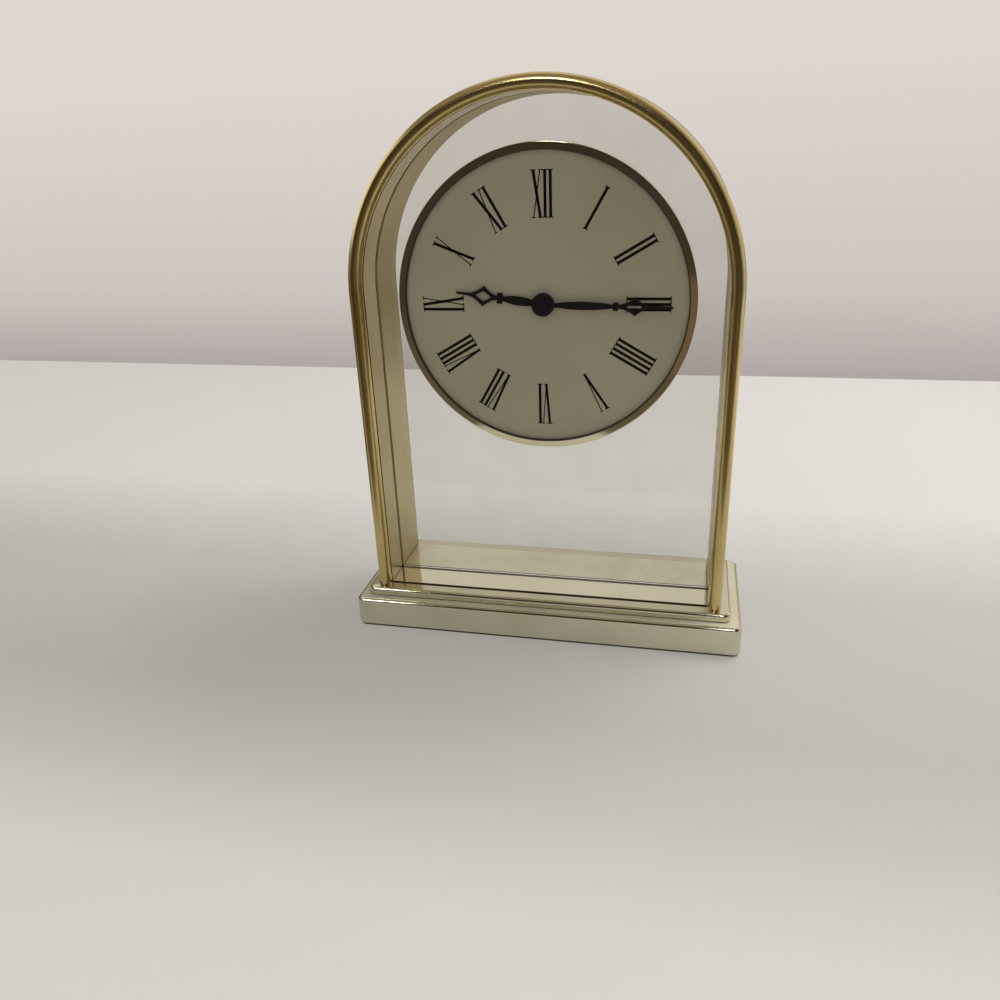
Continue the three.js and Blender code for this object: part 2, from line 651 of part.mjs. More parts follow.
function makeMotionWork() {
  const cannonPhase = MINUTE_DIRECTION;
  const arborBack = arborRadius - 2 * SNUG;
  const arbor = joined(
    spindle(arborRadius, minuteHandFront, layer(MINUTE_LAYER) + GEAR_THICKNESS, centreAxis),
    gear(CANNON_TEETH, motionModule, cannonPhase, layer(MINUTE_LAYER), centreAxis),
    spindle(arborBack, layer(MINUTE_LAYER), plateFront - SNUG, centreAxis),
    spindle(pivotRadius, plateFront - FIT, plateBack, centreAxis),
  );
  piece('centre_arbor', arbor, 'steel');

  const minutePhase = meshedPhase(CANNON_TEETH, cannonPhase, MINUTE_TEETH, MINUTE_DIRECTION);
  const minuteWheel = joined(
    gear(MINUTE_TEETH, motionModule, minutePhase, layer(MINUTE_LAYER), minuteAxis),
    gear(MINUTE_LEAVES, GEAR_MODULE, MINUTE_DIRECTION + HALF_TURN, layer(HOUR_LAYER), minuteAxis),
    spindle(pivotRadius + 2 * SNUG, layer(HOUR_LAYER), layer(MINUTE_LAYER), minuteAxis),
  );
  const stud = spindle(pivotRadius + SNUG, panelInner, layer(CENTRE_LAYER), minuteAxis);
  piece('minute_wheel', cut(minuteWheel, stud), 'whitePlastic');

  const pinionPhase = MINUTE_DIRECTION + HALF_TURN;
  const hourPhase = meshedPhase(MINUTE_LEAVES, pinionPhase, HOUR_TEETH, pinionPhase);
  const hourWheel = joined(
    gear(HOUR_TEETH, GEAR_MODULE, hourPhase, layer(HOUR_LAYER), centreAxis),
    spindle(tubeRadius, hourHandFront, layer(HOUR_LAYER) + GEAR_THICKNESS, centreAxis),
  );
  const tubeBore = spindle(arborRadius + FIT, hourHandFront - FIT, layer(MINUTE_LAYER), centreAxis);
  piece('hour_wheel', cut(hourWheel, tubeBore), 'whitePlastic');

  const knobPhase = meshedPhase(MINUTE_TEETH, minutePhase, KNOB_TEETH, KNOB_DIRECTION);
  const knob = joined(
    gear(KNOB_TEETH, motionModule, knobPhase, layer(MINUTE_LAYER), knobAxis),
    spindle(pivotRadius, pivotFront, layer(MINUTE_LAYER), knobAxis),
    spindle(arborRadius, layer(MINUTE_LAYER), knobBack, knobAxis),
    spindle(KNOB_DIAMETER / 2, caseBack + FIT, knobBack, knobAxis),
  );
  piece('setting_knob', knob, 'blackPlastic');
}

// Movement case: front shell with bush, rear shell, bearing plate and three screws
const postRadius = POST_DIAMETER / 2;
const postInset = caseInner + FIT - postRadius;
const rightPost = [postInset, batteryTop + FIT + postRadius];
const posts = [[-postInset, postInset], [postInset, postInset], rightPost];
const caseScrewRadius = CASE_SCREW_DIAMETER / 2;
const plateFoot = batteryTop + FIT;

// A square block of the movement, in X and Z about the dial's centre.
function caseBlock(half, front, back) {
  const middle = dialCentre;
  return block(-half, half, front, back, middle - half, middle + half);
}

function makeCase() {
  const pivots = [thirdAxis, secondsAxis, fifthAxis, rotorAxis];
  const frontPivots = [...pivots, knobAxis];
  const pivotHoles = frontPivots.map((axis) => {
    return spindle(pivotRadius + SNUG, panelInner - PIVOT_DEPTH, panelInner + FIT, axis);
  });
  const screwFoot = layer(MINUTE_LAYER);
  const screwHoles = posts.map((axis) => spindle(caseScrewRadius + SNUG, screwFoot, caseBack + FIT, axis));
  const frontShell = joined(
    cut(caseBlock(caseOuter, caseFront, CASE_SPLIT), caseBlock(caseInner, panelInner, CASE_SPLIT + FIT)),
    spindle(bushRadius, spacerFront + SNUG, panelInner, centreAxis),
    spindle(pivotRadius, panelInner - SNUG, layer(MINUTE_LAYER) + GEAR_THICKNESS, minuteAxis),
    ...posts.map((axis) => spindle(postRadius, panelInner - SNUG, plateFront, axis)),
  );
  const tubeHole = spindle(tubeRadius + FIT, spacerFront, panelInner + FIT, centreAxis);
  piece('movement_front_case', cut(frontShell, tubeHole, ...pivotHoles, ...screwHoles), 'blackPlastic');

  const battery = [batteryHeight - BATTERY_DIAMETER / 2 - FIT, batteryTop + FIT];
  const [windowFoot, windowTop] = battery.map((z) => dialCentre + z);
  const windowHalf = BATTERY_LENGTH / 2 + FIT;
  const batteryWindow = block(
    -windowHalf, windowHalf, backPanelInner - FIT, caseBack + FIT, windowFoot + FIT, windowTop,
  );
  const rearShell = joined(
    cut(caseBlock(caseOuter, CASE_SPLIT, caseBack), caseBlock(caseInner, CASE_SPLIT - FIT, backPanelInner)),
    ...posts.map((axis) => spindle(postRadius, plateBack, backPanelInner + SNUG, axis)),
  );
  const knobHole = spindle(arborRadius + FIT, backPanelInner - FIT, caseBack + FIT, knobAxis);
  const postReliefs = posts.map((axis) => spindle(postRadius + FIT, CASE_SPLIT - FIT, plateFront, axis));
  const rearCase = cut(rearShell, batteryWindow, knobHole, ...postReliefs, ...screwHoles);
  piece('movement_rear_case', rearCase, 'blackPlastic');

  const plateHalf = caseInner - FIT;
  const middle = dialCentre;
  const plate = block(
    -plateHalf, plateHalf, plateFront, plateBack, middle + plateFoot, middle + plateHalf,
  );
  const bearings = [centreAxis, ...pivots].map((axis) => {
    return spindle(pivotRadius + SNUG, plateFront - FIT, plateBack + FIT, axis);
  });
  const knobPass = spindle(arborRadius + FIT, plateFront - FIT, plateBack + FIT, knobAxis);
  piece('bearing_plate', cut(plate, ...bearings, knobPass, ...screwHoles), 'whitePlastic');

  posts.forEach((axis, index) => {
    const headRadius = caseScrewRadius * SCREW_HEAD_RATIO;
    const head = spindle(headRadius, caseBack, caseBack + CASE_SCREW_HEAD, axis);
    const shank = spindle(caseScrewRadius, screwFoot + FIT, caseBack + SEAM, axis);
    piece(`case_screw_${index + 1}`, joined(head, shank), 'steel');
  });
}

// Fixing on the glass: washer and hexagon nut on the bush
function makeFixing() {
  const washerFront = GLASS_FRONT - WASHER_THICKNESS;
  const across = NUT_ACROSS / Math.sqrt(3);
  const washer = ringY(across - FIT, bushRadius + SNUG, washerFront, GLASS_FRONT, 0, dialCentre);
  piece('lock_washer', washer, 'steel');
  const nutBore = spindle(bushRadius + SNUG, spacerFront, GLASS_FRONT, centreAxis);
  const nut = rodY(across, washerFront - NUT_THICKNESS, washerFront, 0, dialCentre, 6);
  piece('hex_nut', cut(nut, nutBore), 'brass');
}

// Stepping motor: stator plate, bobbin and winding
function makeMotor() {
  const [rotorX, rotorZ] = rotorAxis;
  const poleRadius = STATOR_POLE_DIAMETER / 2;
  const statorFront = (layer(CENTRE_LAYER) + layer(SECONDS_LAYER) - STATOR_THICKNESS) / 2;
  const statorBack = statorFront + STATOR_THICKNESS;
  const coilStart = rotorX + poleRadius + 2 * FIT;
  const coilEnd = coilStart + BOBBIN_LENGTH;
  const coreZ = dialCentre + rotorZ;
  const halfCore = STATOR_CORE_WIDTH / 2;
  const stator = joined(
    spindle(poleRadius, statorFront, statorBack, rotorAxis),
    block(rotorX, coilEnd + FIT, statorFront, statorBack, coreZ - halfCore, coreZ + halfCore),
  );
  const rotorHole = spindle(ROTOR_DIAMETER / 2 + FIT, statorFront - FIT, statorBack + FIT, rotorAxis);
  piece('stator', cut(stator, rotorHole), 'steel');

  const coilY = (statorFront + statorBack) / 2;
  const coilRadius = COIL_DIAMETER / 2;
  const coreRadius = BOBBIN_CORE_DIAMETER / 2;
  const halfPassage = halfCore + SNUG;
  const passageDepth = [statorFront - SNUG, statorBack + SNUG];
  const passageHeight = [coreZ - halfPassage, coreZ + halfPassage];
  const passage = block(coilStart - FIT, coilEnd + FIT, ...passageDepth, ...passageHeight);
  const bobbin = joined(
    rodX(coreRadius, coilStart, coilEnd, coilY, coreZ),
    rodX(coilRadius, coilStart, coilStart + BOBBIN_FLANGE, coilY, coreZ),
    rodX(coilRadius, coilEnd - BOBBIN_FLANGE, coilEnd, coilY, coreZ),
  );
  piece('coil_bobbin', cut(bobbin, passage), 'whitePlastic');
  const windingStart = coilStart + BOBBIN_FLANGE + SNUG;
  const windingEnd = coilEnd - BOBBIN_FLANGE - SNUG;
  const winding = rodX(coilRadius - SNUG, windingStart, windingEnd, coilY, coreZ);
  const windingBore = rodX(coreRadius + SNUG, windingStart - FIT, windingEnd + FIT, coilY, coreZ);
  piece('coil_winding', cut(winding, windingBore), 'copper');
}

// Circuit board on the front panel beside the train, with its chip and crystal
function makeBoard() {
  const left = -caseInner + FIT;
  const foot = dialCentre + batteryTop + FIT;
  const boardBack = panelInner + BOARD_THICKNESS;
  const top = foot + BOARD_HEIGHT;
  piece('circuit_board', block(left, left + BOARD_WIDTH, panelInner, boardBack, foot, top), 'board');
  const chipLeft = left + BOARD_MARGIN;
  const chipTop = top - BOARD_MARGIN;
  const chipBack = boardBack + CHIP_THICKNESS;
  const chip = block(chipLeft, chipLeft + CHIP_SIDE, boardBack, chipBack, chipTop - CHIP_SIDE, chipTop);
  piece('control_chip', chip, 'blackPlastic');
  const canRadius = CRYSTAL_DIAMETER / 2;
  const canZ = foot + BOARD_MARGIN + canRadius;
  const can = rodX(canRadius, chipLeft, chipLeft + CRYSTAL_LENGTH, boardBack + canRadius, canZ);
  piece('crystal_can', can, 'steel');
}

// The cell lies along the foot of the case between two flat contacts
function makeCell() {
  const batteryZ = dialCentre + batteryHeight;
  const batteryHalf = BATTERY_LENGTH / 2;
  const shoulder = batteryHalf - BATTERY_NUB_LENGTH;
  const cell = joined(
    rodX(BATTERY_DIAMETER / 2, -batteryHalf, shoulder, batteryY, batteryZ),
    rodX(BATTERY_NUB_DIAMETER / 2, shoulder - FIT, batteryHalf, batteryY, batteryZ),
  );
  piece('battery', cell, 'battery');
  const half = CONTACT_WIDTH / 2;
  const span = [batteryY - half, batteryY + half, batteryZ - half, batteryZ + half];
  const inner = batteryHalf + FIT;
  piece('contact_negative', block(-inner - CONTACT_THICKNESS, -inner, ...span), 'steel');
  piece('contact_positive', block(inner, inner + CONTACT_THICKNESS, ...span), 'steel');
}

// Drum behind the glass, with its gasket and pull-off cover
const DRUM_STEPS = 40;

function makeDrum() {
  const height = dialCentre;
  piece('glass_gasket', ringY(drumOuter, bushHole, glassBack, drumFront, 0, height, DRUM_STEPS), 'rubber');
  const drumProfile = [
    [bushHole, drumFront], [drumOuter, drumFront], [drumOuter, coverInner], [drumInner, coverInner],
    [drumInner, caseFront], [bushHole, caseFront], [bushHole, drumFront],
  ];
  piece('rear_drum', turned(drumProfile, 0, height, DRUM_STEPS), 'brass');
  const rimOuter = drumInner - FIT;
  const rimInner = rimOuter - DRUM_WALL;
  const rimFront = coverInner - COVER_RIM;
  const coverBack = coverInner + DRUM_WALL;
  const coverProfile = [
    [0, coverInner], [rimInner, coverInner], [rimInner, rimFront], [rimOuter, rimFront],
    [rimOuter, coverInner], [drumOuter, coverInner], [drumOuter, coverBack], [0, coverBack],
  ];
  piece('rear_cover', turned(coverProfile, 0, height, DRUM_STEPS), 'brass');
}

makeBase();
makeBaseScrews();
makeArch();
makeDial();
makeHands();
makeGoingTrain();
makeMotionWork();
makeCase();
makeFixing();
makeMotor();
makeBoard();
makeCell();
makeDrum();

export default clock;
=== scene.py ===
# %% [markdown]
# # A brass arch clock with a floating dial
# The clock stands on a stepped, pale brass base. A polished brass arch holds a sheet of clear glass,
# and a round ivory dial sits on the glass, so that it seems to float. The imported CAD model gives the
# places and sizes. This script loads it as a fixed frame and dresses it: what shows gets a smoother
# piece, and every other solid keeps its shape and gets a proper finish.

# %% Load the frame
import json
import math

import bmesh
import bpy
from mathutils import Matrix, Vector


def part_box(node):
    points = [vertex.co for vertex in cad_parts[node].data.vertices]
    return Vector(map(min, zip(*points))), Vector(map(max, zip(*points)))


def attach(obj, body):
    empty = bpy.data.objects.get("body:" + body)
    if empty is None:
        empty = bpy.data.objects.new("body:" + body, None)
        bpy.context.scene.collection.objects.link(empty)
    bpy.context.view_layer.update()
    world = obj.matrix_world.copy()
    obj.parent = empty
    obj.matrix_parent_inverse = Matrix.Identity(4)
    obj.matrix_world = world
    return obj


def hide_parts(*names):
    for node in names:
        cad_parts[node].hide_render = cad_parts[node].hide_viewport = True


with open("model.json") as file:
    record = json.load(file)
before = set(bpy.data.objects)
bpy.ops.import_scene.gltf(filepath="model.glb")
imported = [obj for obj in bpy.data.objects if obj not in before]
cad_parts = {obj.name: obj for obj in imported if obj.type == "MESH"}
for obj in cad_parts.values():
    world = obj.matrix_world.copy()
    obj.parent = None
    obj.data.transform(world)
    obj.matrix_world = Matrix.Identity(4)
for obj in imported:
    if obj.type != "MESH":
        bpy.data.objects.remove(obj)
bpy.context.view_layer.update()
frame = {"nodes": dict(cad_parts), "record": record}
MM = 0.001
scene = bpy.context.scene
scene.view_settings.view_transform = "Standard"

# %% [markdown]
# ## Camera
# The photograph was taken by hand, from a little above and to the right, close to the clock. The lens
# and the three angles come from a perspective fit to the straight edges of the base and to the two
# circles of the bezel. A camera looks along its own -Z, so it is first tipped up from the floor, then
# turned about the upright axis. The roll comes first, because it is about the camera's own axis.

# %% Camera
LENS = 29.99
SENSOR = 36
CLIP_START = 0.01
CAMERA_PLACE = Vector((53.2, -315.8, 192.0)) * MM
YAW, PITCH, ROLL = (math.radians(angle) for angle in (13.31, 23.7, -2.29))

camera_data = bpy.data.cameras.new("camera")
camera_data.sensor_width = SENSOR
camera_data.lens = LENS
camera_data.clip_start = CLIP_START
camera = bpy.data.objects.new("camera", camera_data)
scene.collection.objects.link(camera)
aim = Matrix.Rotation(YAW, 4, "Z") @ Matrix.Rotation(math.pi / 2 - PITCH, 4, "X")
camera.matrix_world = Matrix.Translation(CAMERA_PLACE) @ aim @ Matrix.Rotation(ROLL, 4, "Z")
scene.camera = camera
print("camera at", [round(x, 3) for x in camera.location], "lens", LENS)

# %% [markdown]
# ## Finishes
# Every finish is one Principled shader with a pattern behind it. The pattern is a noise read in the
# piece's own coordinates, in metres, so it stays on the piece when the piece moves. One noise can
# drive the colour, the gloss and the relief. Values that are the same all over are set on the shader.

# %% Helpers for finishes
def paint(red, green, blue):
    """A colour from a paint chart, 0 to 255, as the linear values that a shader mixes."""
    shares = [c / 255 for c in (red, green, blue)]
    linear = [s / 12.92 if s <= 0.04045 else ((s + 0.055) / 1.055) ** 2.4 for s in shares]
    return (*linear, 1.0)


def new_finish(name, metallic=0.0, **sockets):
    """A finish with fixed values on the shader's sockets, whose names have _ for each space."""
    finish = bpy.data.materials.new(name)
    finish.use_nodes = True
    shader = finish.node_tree.nodes["Principled BSDF"]
    shader.inputs["Metallic"].default_value = metallic
    for socket, value in sockets.items():
        shader.inputs[socket.replace("_", " ")].default_value = value
    return finish


def grain(finish, size, stretch=(1, 1, 1), detail=3.0):
    """A noise whose spots are about as large as size, in metres, squeezed along an axis by stretch."""
    nodes, links = finish.node_tree.nodes, finish.node_tree.links
    place = nodes.new("ShaderNodeTexCoord")
    mapping = nodes.new("ShaderNodeMapping")
    mapping.inputs["Scale"].default_value = stretch
    noise = nodes.new("ShaderNodeTexNoise")
    noise.inputs["Scale"].default_value = 1 / size
    noise.inputs["Detail"].default_value = detail
    links.new(place.outputs["Object"], mapping.inputs["Vector"])
    links.new(mapping.outputs["Vector"], noise.inputs["Vector"])
    return noise.outputs["Fac"]


print("finish helpers ready")

# %% [markdown]
# A pattern reaches the shader in three ways. A colour ramp turns it into a run between two colours, a
# map range turns it into a roughness, and a bump node turns it into small hills and hollows.

# %% Helpers for colour, gloss and relief
def tint(finish, source, first, second, low=0.35, high=0.65):
    """Runs the base colour from first to second as the pattern rises from low to high."""
    tree = finish.node_tree
    ramp = tree.nodes.new("ShaderNodeValToRGB")
    ramp.color_ramp.elements[0].position = low
    ramp.color_ramp.elements[0].color = first
    ramp.color_ramp.elements[1].position = high
    ramp.color_ramp.elements[1].color = second
    tree.links.new(source, ramp.inputs["Fac"])
    tree.links.new(ramp.outputs["Color"], tree.nodes["Principled BSDF"].inputs["Base Color"])


def gloss(finish, source, smooth, dull, low=0.3, high=0.7):
    """Runs the roughness from smooth to dull as the pattern rises from low to high."""
    tree = finish.node_tree
    span = tree.nodes.new("ShaderNodeMapRange")
    span.inputs["From Min"].default_value = low
    span.inputs["From Max"].default_value = high
    span.inputs["To Min"].default_value = smooth
    span.inputs["To Max"].default_value = dull
    tree.links.new(source, span.inputs["Value"])
    tree.links.new(span.outputs["Result"], tree.nodes["Principled BSDF"].inputs["Roughness"])


def relief(finish, source, height):
    """Raises the surface by up to height, in metres, where the pattern is bright."""
    tree = finish.node_tree
    bump = tree.nodes.new("ShaderNodeBump")
    bump.inputs["Distance"].default_value = height
    tree.links.new(source, bump.inputs["Height"])
    tree.links.new(bump.outputs["Normal"], tree.nodes["Principled BSDF"].inputs["Normal"])


def two_grains(name, first, second, smooth, dull, slow, fine, detail=3.0, **sockets):
    """A finish whose colour changes in slow spots and whose gloss changes in fine ones."""
    finish = new_finish(name, **sockets)
    tint(finish, grain(finish, slow), paint(*first), paint(*second))
    gloss(finish, grain(finish, fine, detail=detail), smooth, dull)
    return finish


print("pattern helpers ready")

# %% [markdown]
# ### Brass in eight finishes
# Brass on this clock is lacquered, so it keeps its colour. The mouldings are polished, and the inside
# of the arch is satin. The base is a paler, champagne plating, with brighter rims and a matte ledge.
# The bezel and the strip in front of the glass are mirrors, and the floor behind it is pale satin. A
# slow noise changes the colour by a few shades, as handled lacquer does, and a fine one the gloss. A
# stretched noise in the relief gives the hair lines that polishing leaves.

# %% Brass finishes
polished_brass = two_grains(
    "polished_brass", (212, 190, 128), (222, 201, 141), smooth=0.22, dull=0.28,
    slow=0.03, fine=0.012, detail=2.0, metallic=1.0,
)
satin_brass = two_grains(
    "satin_brass", (195, 180, 136), (200, 186, 142), smooth=0.3, dull=0.36,
    slow=0.02, fine=0.012, detail=2.0, metallic=1.0,
)
relief(satin_brass, grain(satin_brass, 0.0008, stretch=(1, 0.05, 1)), 0.000002)
pale_brass = two_grains(
    "pale_brass", (215, 211, 187), (223, 219, 197), smooth=0.12, dull=0.22,
    slow=0.03, fine=0.01, detail=5.0, metallic=1.0,
)
relief(pale_brass, grain(pale_brass, 0.0007, stretch=(0.04, 1, 1)), 0.000006)
rim_brass = two_grains(
    "rim_brass", (223, 217, 188), (231, 225, 198), smooth=0.05, dull=0.1,
    slow=0.03, fine=0.01, detail=4.0, metallic=1.0,
)
mirror_brass = two_grains(
    "mirror_brass", (243, 240, 219), (249, 246, 227), smooth=0.04, dull=0.09,
    slow=0.03, fine=0.012, detail=5.0, metallic=1.0,
)
floor_satin = two_grains(
    "floor_satin", (236, 233, 212), (242, 240, 221), smooth=0.16, dull=0.3,
    slow=0.02, fine=0.009, detail=6.0, metallic=1.0,
)
relief(floor_satin, grain(floor_satin, 0.0006), 0.000004)
ledge_brass = two_grains(
    "ledge_brass", (228, 220, 192), (236, 229, 202), smooth=0.42, dull=0.52,
    slow=0.02, fine=0.006, detail=6.0, metallic=0.15,
)
bezel_brass = two_grains(
    "bezel_brass", (224, 215, 180), (234, 227, 196), smooth=0.06, dull=0.1,
    slow=0.03, fine=0.012, detail=5.0, metallic=1.0,
)
print("brass finishes: 8")

# %% [markdown]
# ### Seams, fillings and painted shade
# Where two pieces meet, a narrow line of something dull shows: a dark brown that paints the shade in
# joints and grooves, painted shade inside the rim of the bezel, a bead of putty at the foot of the
# glass, and the pale tape that beds the glass.

# %% Seams, fillings and painted shade
# A dark brown that paints the shade in the joints and grooves of the base and the arch.
seam_shade = two_grains(
    "seam_shade", (84, 68, 42), (104, 86, 56), smooth=0.5, dull=0.8, slow=0.001, fine=0.0008
)
# Painted shade for the fine line just inside the bezel's rim.
rim_shadow = two_grains(
    "rim_shadow", (54, 48, 36), (64, 57, 43), smooth=0.5, dull=0.8, slow=0.001, fine=0.0008
)
bead_putty = two_grains(
    "bead_putty", (108, 94, 68), (122, 108, 80), smooth=0.5, dull=0.7, slow=0.002, fine=0.001
)
bedding_tape = two_grains(
    "bedding_tape", (240, 212, 150), (247, 222, 164), smooth=0.6, dull=0.8, slow=0.003, fine=0.001
)
print("seams and fillings: 4")

# %% [markdown]
# ### Dial, ink and hands
# The dial is lacquered metal in an ivory tone, with a grain that is too fine to see as spots and only
# softens the light. The numerals are printed in a brown black. The hands are satin black paint.

# %% Dial finishes
ivory = new_finish("ivory_dial")
tint(ivory, grain(ivory, 0.04, detail=2.0), paint(196, 187, 159), paint(203, 195, 168))
gloss(ivory, grain(ivory, 0.004, detail=6.0), 0.45, 0.6)
relief(ivory, grain(ivory, 0.0005, detail=6.0), 0.000006)

ink = two_grains(
    "printed_ink", (22, 16, 10), (32, 24, 16), smooth=0.5, dull=0.7,
    slow=0.002, fine=0.001, Specular_IOR_Level=0.15,
)
black_paint = two_grains(
    "black_paint", (26, 24, 26), (36, 33, 35), smooth=0.38, dull=0.55,
    slow=0.004, fine=0.002, detail=5.0,
)
relief(black_paint, grain(black_paint, 0.0003, detail=4.0), 0.000004)
print("dial finishes: 3")

# %% [markdown]
# ### Clear glass
# In the photograph the glass is seen only by its lines at the floor and the arch. The sheet bends the
# light that passes through it, so it is a true glass with a faint grey tint. Its shadow is switched
# off below, because bent light would leave a dark one on the floor.

# %% Glass
clear_glass = two_grains(
    "clear_glass", (229, 229, 225), (234, 234, 230), smooth=0.0, dull=0.015,
    slow=0.02, fine=0.006, detail=6.0, IOR=1.45, Transmission_Weight=1.0,
)
print("glass ready")

# %% [markdown]
# ### Everything behind the dial
# The movement hides in the drum, but each part still has its material: moulded plastics, steel,
# copper wire, a circuit board, a magnet, a cell in its printed jacket, rubber and felt. One pattern
# does all the work here. A row of the table says two colours, the size of the spots, the two ends of
# the roughness and the height of the relief, and for some how metallic it is and how it is stretched.

# %% Finishes of the works
def works_finish(name, first, second, size, smooth, dull, height, metallic=0.0, stretch=(1, 1, 1)):
    """A finish whose colour, gloss and relief all follow one pattern."""
    finish = new_finish(name, metallic=metallic)
    spots = grain(finish, size, stretch=stretch, detail=4.0)
    tint(finish, spots, paint(*first), paint(*second))
    gloss(finish, spots, smooth, dull)
    relief(finish, spots, height)
    return finish


WORKS_TABLE = {
    "black_plastic": ((24, 24, 26), (34, 34, 36), 0.001, 0.4, 0.6, 0.00001),
    "white_plastic": ((222, 219, 208), (232, 230, 221), 0.002, 0.35, 0.5, 0.000005),
    "steel": ((176, 179, 184), (196, 199, 203), 0.0015, 0.22, 0.38, 0.000003, 1.0, (0.1, 1, 1)),
    "felt": ((22, 44, 32), (38, 66, 50), 0.0008, 0.9, 1.0, 0.0002),
    "gasket": ((34, 34, 35), (48, 47, 47), 0.001, 0.7, 0.9, 0.00003),
    "copper_wire": ((150, 78, 36), (192, 112, 60), 0.0004, 0.25, 0.4, 0.00008, 1.0, (1, 0.05, 0.05)),
    "circuit_board": ((30, 88, 46), (48, 116, 62), 0.0015, 0.35, 0.5, 0.00002),
    "magnet": ((70, 70, 76), (96, 96, 102), 0.001, 0.4, 0.55, 0.00001, 1.0),
    "cell_jacket": ((52, 66, 96), (66, 82, 116), 0.006, 0.25, 0.4, 0.000004),
}
WORKS = {name: works_finish(name, *row) for name, row in WORKS_TABLE.items()}
print("finishes of the works:", len(WORKS))

# %% [markdown]
# ### Hand the finishes to the CAD solids
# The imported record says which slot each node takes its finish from. Every node gets its finish first.
# The pieces made below then replace the ones whose edges show.

# %% Dress the CAD nodes
FINISHES = {
    "polished_brass": polished_brass,
    "satin_brass": satin_brass,
    "pale_brass": pale_brass,
    "clear_glass": clear_glass,
    "ivory_dial": ivory,
    "black_paint": black_paint,
    **WORKS,
}
for part in frame["record"]["subparts"]:
    mesh = frame["nodes"][part["node"]].data
    mesh.materials.clear()
    mesh.materials.append(FINISHES[part["material_slot"]])
frame["nodes"]["glass_panel"].visible_shadow = False

# %% [markdown]
# ## From a bmesh to a piece
# Each new piece is shaped in a bmesh and then handed over once: doubles are merged, the normals are
# turned outwards, flat runs are shaded smooth with creases kept sharp, and the piece rides on a body.

# %% Hand over a piece
CREASE = math.radians(32)
NEAR = 1e-6


def new_piece(name, shape, finishes, body="clock_body", stands_for=()):
    """Makes a piece of the clock from a shape; it rides on a body and stands for CAD nodes."""
    bmesh.ops.remove_doubles(shape, verts=shape.verts, dist=NEAR)
    bmesh.ops.recalc_face_normals(shape, faces=shape.faces)
    for face in shape.faces:
        face.smooth = True
    for edge in shape.edges:
        edge.smooth = len(edge.link_faces) == 2 and edge.calc_face_angle() < CREASE
    mesh = bpy.data.meshes.new(name)
    shape.to_mesh(mesh)
    shape.free()
    for finish in finishes:
        mesh.materials.append(finish)
    piece = bpy.data.objects.new(name, mesh)
    scene.collection.objects.link(piece)
    shading = piece.modifiers.new("even_shading", "WEIGHTED_NORMAL")
    shading.keep_sharp = True
    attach(piece, body)
    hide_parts(*stands_for)
    print(name, "faces:", len(mesh.polygons))


def round_over(shape, edges, radius, segments):
    """Rounds edges off to a radius."""
    bmesh.ops.bevel(
        shape, geom=edges, offset=radius, segments=segments, profile=0.5, affect="EDGES", material=-1
    )


def new_block(low, high):
    """A box between two corners."""
    shape = bmesh.new()
    size = Matrix.Diagonal((*(high - low), 1))
    bmesh.ops.create_cube(shape, size=1, matrix=Matrix.Translation((low + high) / 2) @ size)
    return shape


print("piece helpers ready")

# %% [markdown]
# ## Base
# The base is two pale brass steps with soft edges. A box is rounded at its four uprights first and
# along its top rim after that, so the small radius runs round the corners in one smooth line. The
# faces of a rim lean, which tells them from the level top and the upright sides, and they get a
# brighter polish.

# %% Helpers for the base
CORNER = 3.0 * MM
RIM = 1
UPRIGHT, LEVEL = 0.01, 0.99


def at_height(item, height):
    """Whether an edge or a face lies level at a height."""
    return all(abs(vert.co.z - height) < NEAR for vert in item.verts)


def soft_step(low, high, rim):
    """A step of the base between two corners, with round uprights and a round top rim."""
    step = new_block(low, high)
    uprights = [edge for edge in step.edges if abs(edge.verts[0].co.z - edge.verts[1].co.z) > NEAR]
    round_over(step, uprights, CORNER, segments=12)
    round_over(step, [edge for edge in step.edges if at_height(edge, high.z)], rim, segments=6)
    step.normal_update()
    for face in step.faces:
        if UPRIGHT < face.normal.z < LEVEL:
            face.material_index = RIM
    return step


def face_at(shape, height):
    """The largest level face at a height."""
    level = [face for face in shape.faces if at_height(face, height)]
    return max(level, key=lambda face: face.calc_area())


def sink(shape, faces, depth):
    """Pushes faces along Z by depth, with walls round them, and gives back the corners it moved."""
    sunk = bmesh.ops.extrude_face_region(shape, geom=faces)["geom"]
    moved = [item for item in sunk if isinstance(item, bmesh.types.BMVert)]
    bmesh.ops.delete(shape, geom=[face for face in faces if face.is_valid], context="FACES")
    bmesh.ops.translate(shape, verts=moved, vec=(0, 0, depth))
    return moved


print("base helpers ready")

# %% [markdown]
# The plinth is the lower step. It is hollow below, its foot is rounded a little, and its top is a
# matte ledge. The photograph shows this ledge a little higher than the model has it, so the plinth is
# drawn up to there, and the tier starts there too.

# %% Plinth
PLINTH_RIM = 1.4 * MM
PLINTH_FOOT = 0.9 * MM
PLINTH_WALL = 4.0 * MM
LEDGE_RISE = Vector((0, 0, 1.1 * MM))
LEDGE = 2

plinth_low, plinth_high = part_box("base_plinth")
plinth_high = plinth_high + LEDGE_RISE
plinth = soft_step(plinth_low, plinth_high, PLINTH_RIM)
foot_edges = [edge for edge in plinth.edges if at_height(edge, plinth_low.z)]
round_over(plinth, foot_edges, PLINTH_FOOT, segments=3)
underside = face_at(plinth, plinth_low.z)
bmesh.ops.inset_region(plinth, faces=[underside], thickness=PLINTH_WALL)
weight_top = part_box("base_weight")[1].z
sink(plinth, [underside], weight_top - plinth_low.z)
face_at(plinth, plinth_high.z).material_index = LEDGE
plinth_finishes = [pale_brass, rim_brass, ledge_brass]
new_piece("plinth_step", plinth, plinth_finishes, stands_for=["base_plinth"])
